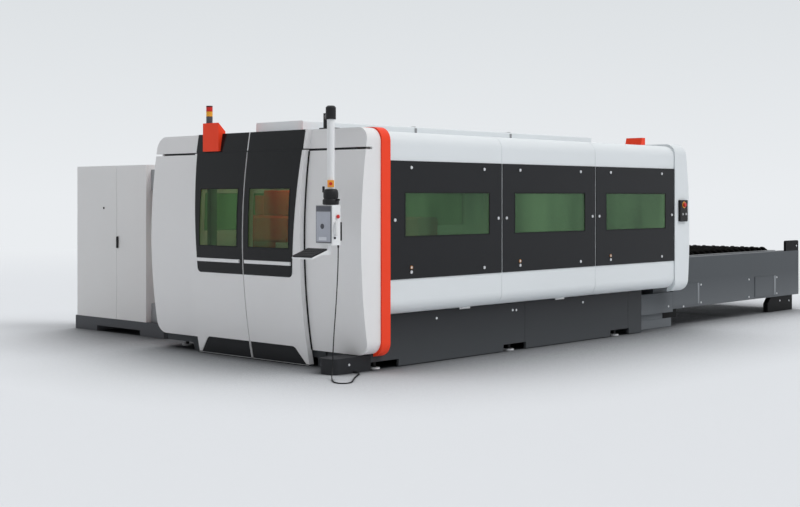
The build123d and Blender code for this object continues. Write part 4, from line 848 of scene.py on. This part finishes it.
# %% low duct
LOW_DUCT_X = (560, 1060)
LOW_DUCT_Y = (2110, 2429)
LOW_DUCT_Z = (160, 376)
LOW_DUCT_EDGE = 6
COLLAR_RIM = 8
COLLAR_Y = (2104, 2116)
collar_x = (LOW_DUCT_X[0] - COLLAR_RIM, LOW_DUCT_X[1] + COLLAR_RIM)
collar_z = (LOW_DUCT_Z[0], LOW_DUCT_Z[1] + COLLAR_RIM)
bm = bmesh.new()
add_block(bm, LOW_DUCT_X, LOW_DUCT_Y, LOW_DUCT_Z, LOW_DUCT_EDGE, segments=3)
add_block(bm, collar_x, COLLAR_Y, collar_z, FINE_EDGE)
add_mesh("cabinet_low_duct", bm, WIREWAY, "machine")

# %% bridge cover
BRIDGE_TOP = 1400
BRIDGE_COVER_X = (1016, 1350)
BRIDGE_COVER_STEPS = (((470, 1000), 1672), ((1000, 1150), 1616))
BRIDGE_COVER_EDGE = 14
bm = bmesh.new()
for ys, top in BRIDGE_COVER_STEPS:
    add_block(bm, BRIDGE_COVER_X, ys, (BRIDGE_TOP, top), BRIDGE_COVER_EDGE, segments=3)
add_mesh("bridge_cover", bm, ACCENT, "bridge")

# %% [markdown]
# ## Terminal
# The hanging terminal is what an operator touches, so it gets the most care: a lit display in a
# grey frame with a plain dial on it, a grip bar and a rubber edge on its side, a clamp lever and a
# turned cover on the coupling, and an amber lamp on the tube. The display is made of plain fields
# of colour.


# %% display
def lit(name, colour, strength):
    """A display field that shines a little."""
    material = finish(name, colour, 0.2, grain=300, height=0.02, drift=(14, 0.18), specular=0.2)
    shader = material.node_tree.nodes["Principled BSDF"]
    shader.inputs["Emission Color"].default_value = colour
    shader.inputs["Emission Strength"].default_value = strength
    return material


SCREEN_X = -447
FIELD_Y = (-1588, -1409)
FIELD_EDGE = 0.8
DIAL_PLACE = (SCREEN_X - 2, -1486, 1340)
DIAL_SIZE = (24, 2)
fields = {
    "display_field": (lit("display_lilac", srgb(150, 154, 164), 0.3), FIELD_Y, (1204, 1470), 2),
    "display_header": (lit("display_grey", srgb(88, 90, 98), 0.15), FIELD_Y, (1476, 1516), 2),
    "display_footer": (lit("display_pale", srgb(186, 190, 198), 0.3), (-1540, -1440), (1216, 1246), 3),
}
for name, (material, ys, zs, proud) in fields.items():
    bm = bmesh.new()
    add_block(bm, (SCREEN_X - proud, SCREEN_X), ys, zs, FIELD_EDGE)
    add_mesh(name, bm, material, "terminal")
studs("display_dial", [DIAL_PLACE], *DIAL_SIZE, DIAL, "terminal", "screen_face", TO_FRONT)

# %% grip bar
HOUSING_FACE = -1601
GRIP_X = (-420, -396)
GRIP_Y = (HOUSING_FACE - 30, HOUSING_FACE - 16)
GRIP_Z = (1254, 1382)
GRIP_EDGE = 6
STAY_X = (-414, -402)
STAY_Y = (HOUSING_FACE - 20, HOUSING_FACE)
STAY_HEIGHTS = (1266, 1370)
STAY_HALF = 6
bm = bmesh.new()
add_block(bm, GRIP_X, GRIP_Y, GRIP_Z, GRIP_EDGE, segments=4)
for z in STAY_HEIGHTS:
    add_block(bm, STAY_X, STAY_Y, (z - STAY_HALF, z + STAY_HALF), FINE_EDGE)
add_mesh("terminal_grip", bm, ALLOY, "terminal")

# %% rubber edge
EDGING_X = (-337, -321)
EDGING_Y = (HOUSING_FACE - 6, HOUSING_FACE + 24)
EDGING_Z = (1212, 1378)
EDGING_ROUND = 5
bm = bmesh.new()
add_block(bm, EDGING_X, EDGING_Y, EDGING_Z, EDGING_ROUND, segments=3)
add_mesh("terminal_rubber_edge", bm, RUBBER, "terminal")

# %% clamp lever
TUBE_PLACE = (-358, -1500)
LEVER_X = (-372, -344)
LEVER_Y = (TUBE_PLACE[1] + 46, TUBE_PLACE[1] + 100)
LEVER_Z = (1640, 1660)
KNOB_X = (-368, -348)
KNOB_Y = (TUBE_PLACE[1] + 84, TUBE_PLACE[1] + 104)
KNOB_Z = (1650, 1696)
LEVER_ROUND = 6
bm = bmesh.new()
add_block(bm, LEVER_X, LEVER_Y, LEVER_Z, LEVER_ROUND, segments=3)
add_block(bm, KNOB_X, KNOB_Y, KNOB_Z, LEVER_ROUND, segments=3)
add_mesh("coupling_lever", bm, PLASTIC, "terminal")


# %% coupling cover
def add_turned(bm, places, closed, centre, axis, steps):
    """A profile of places, spun right round an axis. A closed profile joins its ends."""
    ring = [bm.verts.new(place) for place in places]
    ends = ring + ring[:1] if closed else ring
    line = [bm.edges.new(pair) for pair in zip(ends, ends[1:])]
    bmesh.ops.spin(
        bm, geom=ring + line, cent=centre, axis=axis, angle=math.tau, steps=steps, use_merge=True,
        use_duplicate=False,
    )


COUPLING_PROFILE = [
    (40, 1531), (66, 1531), (73, 1537), (74, 1570), (70, 1578), (63, 1583), (63, 1590), (67, 1597),
    (67, 1640), (63, 1656), (56, 1667), (38, 1671),
]
COUPLING_STEPS = 40
bm = bmesh.new()
places = [at(TUBE_PLACE[0] - r, TUBE_PLACE[1], z) for r, z in COUPLING_PROFILE]
add_turned(bm, places, False, at(*TUBE_PLACE, 0), (0, 0, 1), COUPLING_STEPS)
add_mesh("coupling_cover", bm, PLASTIC, "terminal")

# %% tube lamp
LAMP_X = (TUBE_PLACE[0] - 46, TUBE_PLACE[0] - 22)
LAMP_Y = (TUBE_PLACE[1] - 30, TUBE_PLACE[1] + 30)
LAMP_Z = (1686, 1750)
LAMP_EDGE = 4
EYE_PLACE = (TUBE_PLACE[0] - 45, TUBE_PLACE[1], sum(LAMP_Z) / 2)
EYE_SIZE = (15, 6)
TO_CORNER = Matrix.Rotation(math.radians(45), 3, "Z")
bm = bmesh.new()
add_block(bm, LAMP_X, LAMP_Y, LAMP_Z, LAMP_EDGE, segments=3)
bmesh.ops.rotate(bm, cent=at(*TUBE_PLACE, 0), matrix=TO_CORNER, verts=bm.verts[:])
add_mesh("tube_lamp", bm, AMBER, "machine")
bm = bmesh.new()
add_stud(bm, EYE_PLACE, *EYE_SIZE, TO_FRONT)
bmesh.ops.rotate(bm, cent=at(*TUBE_PLACE, 0), matrix=TO_CORNER, verts=bm.verts[:])
add_mesh("tube_lamp_eye", bm, RED, "machine")

# %% [markdown]
# ## Rear stop button
# The stop button on the rear box sits in an amber ring. The ring stays open in the middle, so that
# the button can travel through it: a closed profile is spun about the button's axis.

# %% rear stop bezel
REAR_STOP = (5461, -1625, 1505)
RIM_PROFILE = [(29, 0), (29, 2), (30, 3), (38, 3), (40, 2), (40, 0)]
RIM_STEPS = 32
bm = bmesh.new()
places = [at(REAR_STOP[0] + r, REAR_STOP[1] - out, REAR_STOP[2]) for r, out in RIM_PROFILE]
add_turned(bm, places, True, at(*REAR_STOP), (0, 1, 0), RIM_STEPS)
add_mesh("rear_stop_bezel", bm, AMBER, "machine")

# %% [markdown]
# ## Fine slats
# A pallet carries its sheet on rows of sharp teeth. Between the slats of the construction model
# stand thinner ones with finer teeth, two in each gap: a grid strip, its upper row pulled down at
# every second point, then given its thickness by solidify.

# %% fine slats
SLAT_STEP = 157
SLAT_GAPS = 19
GAP_PARTS = 3
SLAT_HALF = 936
SLAT_FOOT_Z = 762
SLAT_TIP_Z = 878
SLAT_THICK = 5
TEETH = 34
TOOTH_DEPTH = 30
PALLETS = (("outer_pallet", 5927, 0), ("inner_pallet", 1877, 226))
for body, first_x, drop in PALLETS:
    bm = bmesh.new()
    for index in range(1, SLAT_GAPS * GAP_PARTS):
        if index % GAP_PARTS == 0:
            continue
        made = bmesh.ops.create_grid(bm, x_segments=2 * TEETH, y_segments=1, size=1)["verts"]
        for vert in made:
            number = round((vert.co.x + 1) * TEETH)
            z = SLAT_FOOT_Z if vert.co.y < 0 else SLAT_TIP_Z - TOOTH_DEPTH * (number % 2)
            vert.co = at(first_x + index * SLAT_STEP / GAP_PARTS, vert.co.x * SLAT_HALF, z - drop)
        faces = list({face for vert in made for face in vert.link_faces})
        bmesh.ops.solidify(bm, geom=faces, thickness=SLAT_THICK * MM)
    add_mesh(body + "_fine_slats", bm, SLATS, body)

# %% [markdown]
# ## Light and floor
# The studio is pale and even: a soft sky and two broad lights overhead, one from the window side
# and one from the far side, so that a soft shadow lies round the machine while the doors stay in
# half shade. Work lights inside the cabin give the glass something to show.
# What the camera sees behind the machine is a plain pale grey that the sky itself doesn't have, so
# the backdrop can be set without changing the soft light on the machine. The floor looks darker
# where the machine closes it in, which deepens the shadow at its foot, but it throws back as much
# light as ever.


# %% rays that show a surface
SEEN_KINDS = ("Is Camera Ray", "Is Glossy Ray", "Is Transmission Ray")


def seen_rays(n, link):
    """One where a ray shows the surface to the camera, straight, mirrored or through glass, else zero."""
    ray = n.new("ShaderNodeLightPath")
    current = ray.outputs[SEEN_KINDS[0]]
    for kind in SEEN_KINDS[1:]:
        either = n.new("ShaderNodeMath")
        either.operation = "MAXIMUM"
        link(current, either.inputs[0])
        link(ray.outputs[kind], either.inputs[1])
        current = either.outputs[0]
    return current


print("rays that count as seen:", SEEN_KINDS)

# %% sky
SKY_STRENGTH = 0.43
BACKDROP_RISE = 0.17
world = bpy.data.worlds.new("studio")
bpy.context.scene.world = world
world.use_nodes = True
n, link = world.node_tree.nodes, world.node_tree.links.new
sky = n["Background"]
sky.inputs["Color"].default_value = (1, 1, 1, 1)
sky.inputs["Strength"].default_value = SKY_STRENGTH
BACKDROP_LOW = srgb(234, 237, 240)
BACKDROP_HIGH = srgb(220, 224, 227)
direction = n.new("ShaderNodeTexCoord")
parts = n.new("ShaderNodeSeparateXYZ")
rise = n.new("ShaderNodeMapRange")
rise.inputs["From Max"].default_value = BACKDROP_RISE
backdrop = n.new("ShaderNodeMix")
backdrop.data_type = "RGBA"
backdrop.inputs["A"].default_value = BACKDROP_LOW
backdrop.inputs["B"].default_value = BACKDROP_HIGH
seen = n.new("ShaderNodeBackground")
mix = n.new("ShaderNodeMixShader")
link(direction.outputs["Generated"], parts.inputs["Vector"])
link(parts.outputs["Z"], rise.inputs["Value"])
link(rise.outputs["Result"], backdrop.inputs["Factor"])
link(backdrop.outputs["Result"], seen.inputs["Color"])
link(seen_rays(n, link), mix.inputs["Fac"])
link(sky.outputs["Background"], mix.inputs[1])
link(seen.outputs["Background"], mix.inputs[2])
link(mix.outputs["Shader"], n["World Output"].inputs["Surface"])
print("sky strength", SKY_STRENGTH)

# %% suns and work lights
SUNS = (("window_side", (-0.35, 0.75, -1), 1.36, 32), ("far_side", (-0.3, -0.4, -1), 0.9, 45))
WORK_LIGHTS = (("front_work_light", 900, 1.0, 12), ("rear_work_light", 3700, 2.4, 22))
WORK_LIGHT_WIDTH = 1.6
WORK_LIGHT_Z = 2150
for name, way, power, spread in SUNS:
    sun_data = bpy.data.lights.new(name, "SUN")
    sun_data.energy = power
    sun_data.angle = math.radians(spread)
    sun = bpy.data.objects.new(name, sun_data)
    bpy.context.collection.objects.link(sun)
    sun.rotation_euler = Vector(way).to_track_quat("-Z", "Y").to_euler()
for name, x, length, power in WORK_LIGHTS:
    lamp_data = bpy.data.lights.new(name, "AREA")
    lamp_data.shape = "RECTANGLE"
    lamp_data.size = length
    lamp_data.size_y = WORK_LIGHT_WIDTH
    lamp_data.energy = power
    lamp = bpy.data.objects.new(name, lamp_data)
    lamp.location = at(x, 0, WORK_LIGHT_Z)
    bpy.context.collection.objects.link(lamp)
print("lights:", [light.name for light in bpy.data.lights])

# %% floor
FLOOR_REACH = 120
FLOOR_DROP = 0.0005
bm = bmesh.new()
bmesh.ops.create_grid(bm, x_segments=2, y_segments=2, size=FLOOR_REACH)
mesh = bpy.data.meshes.new("floor")
bm.to_mesh(mesh)
bm.free()
floor = bpy.data.objects.new("floor", mesh)
bpy.context.collection.objects.link(floor)
floor.location.z = -FLOOR_DROP
FLOOR = finish("floor", srgb(222, 225, 229), 0.7, grain=2, height=0.0, drift=(0.2, 0.01), specular=0.1)
mesh.materials.append(FLOOR)
print("floor reaches", FLOOR_REACH, "m each way")

# %% floor shade
SHADE_REACH = 2.6
SHADE_RANGE = (0.32, 0.97)
SHADE_COLOUR = srgb(48, 50, 53)
n, link = FLOOR.node_tree.nodes, FLOOR.node_tree.links.new
corner = n.new("ShaderNodeAmbientOcclusion")
corner.samples = 8
corner.inputs["Distance"].default_value = SHADE_REACH
depth = n.new("ShaderNodeMapRange")
depth.inputs["From Min"].default_value = SHADE_RANGE[0]
depth.inputs["From Max"].default_value = SHADE_RANGE[1]
shade = n.new("ShaderNodeMix")
shade.data_type = "RGBA"
shade.inputs["A"].default_value = SHADE_COLOUR
unseen = n.new("ShaderNodeMath")
unseen.operation = "SUBTRACT"
unseen.inputs[0].default_value = 1.0
open_floor = n.new("ShaderNodeMath")
open_floor.operation = "MAXIMUM"
link(corner.outputs["AO"], depth.inputs["Value"])
link(seen_rays(n, link), unseen.inputs[1])
link(depth.outputs["Result"], open_floor.inputs[0])
link(unseen.outputs[0], open_floor.inputs[1])
link(open_floor.outputs[0], shade.inputs["Factor"])
link(n["mottled"].outputs["Colour"], shade.inputs["B"])
link(shade.outputs["Result"], n["Principled BSDF"].inputs["Base Color"])
print("floor shade reaches", SHADE_REACH, "m")

# %% floor fades into the backdrop
FADE_RANGE = (7.5, 26.0)
place = n.new("ShaderNodeTexCoord")
away = n.new("ShaderNodeVectorMath")
away.operation = "LENGTH"
fade = n.new("ShaderNodeMapRange")
fade.interpolation_type = "SMOOTHSTEP"
fade.inputs["From Min"].default_value = FADE_RANGE[0]
fade.inputs["From Max"].default_value = FADE_RANGE[1]
glow = n.new("ShaderNodeEmission")
glow.inputs["Color"].default_value = BACKDROP_LOW
mix = n.new("ShaderNodeMixShader")
link(place.outputs["Object"], away.inputs[0])
link(away.outputs["Value"], fade.inputs["Value"])
link(fade.outputs["Result"], mix.inputs["Fac"])
link(n["Principled BSDF"].outputs["BSDF"], mix.inputs[1])
link(glow.outputs["Emission"], mix.inputs[2])
link(mix.outputs["Shader"], n["Material Output"].inputs["Surface"])
bpy.context.scene.view_settings.view_transform = "Standard"
print("floor fades from", FADE_RANGE[0], "m")
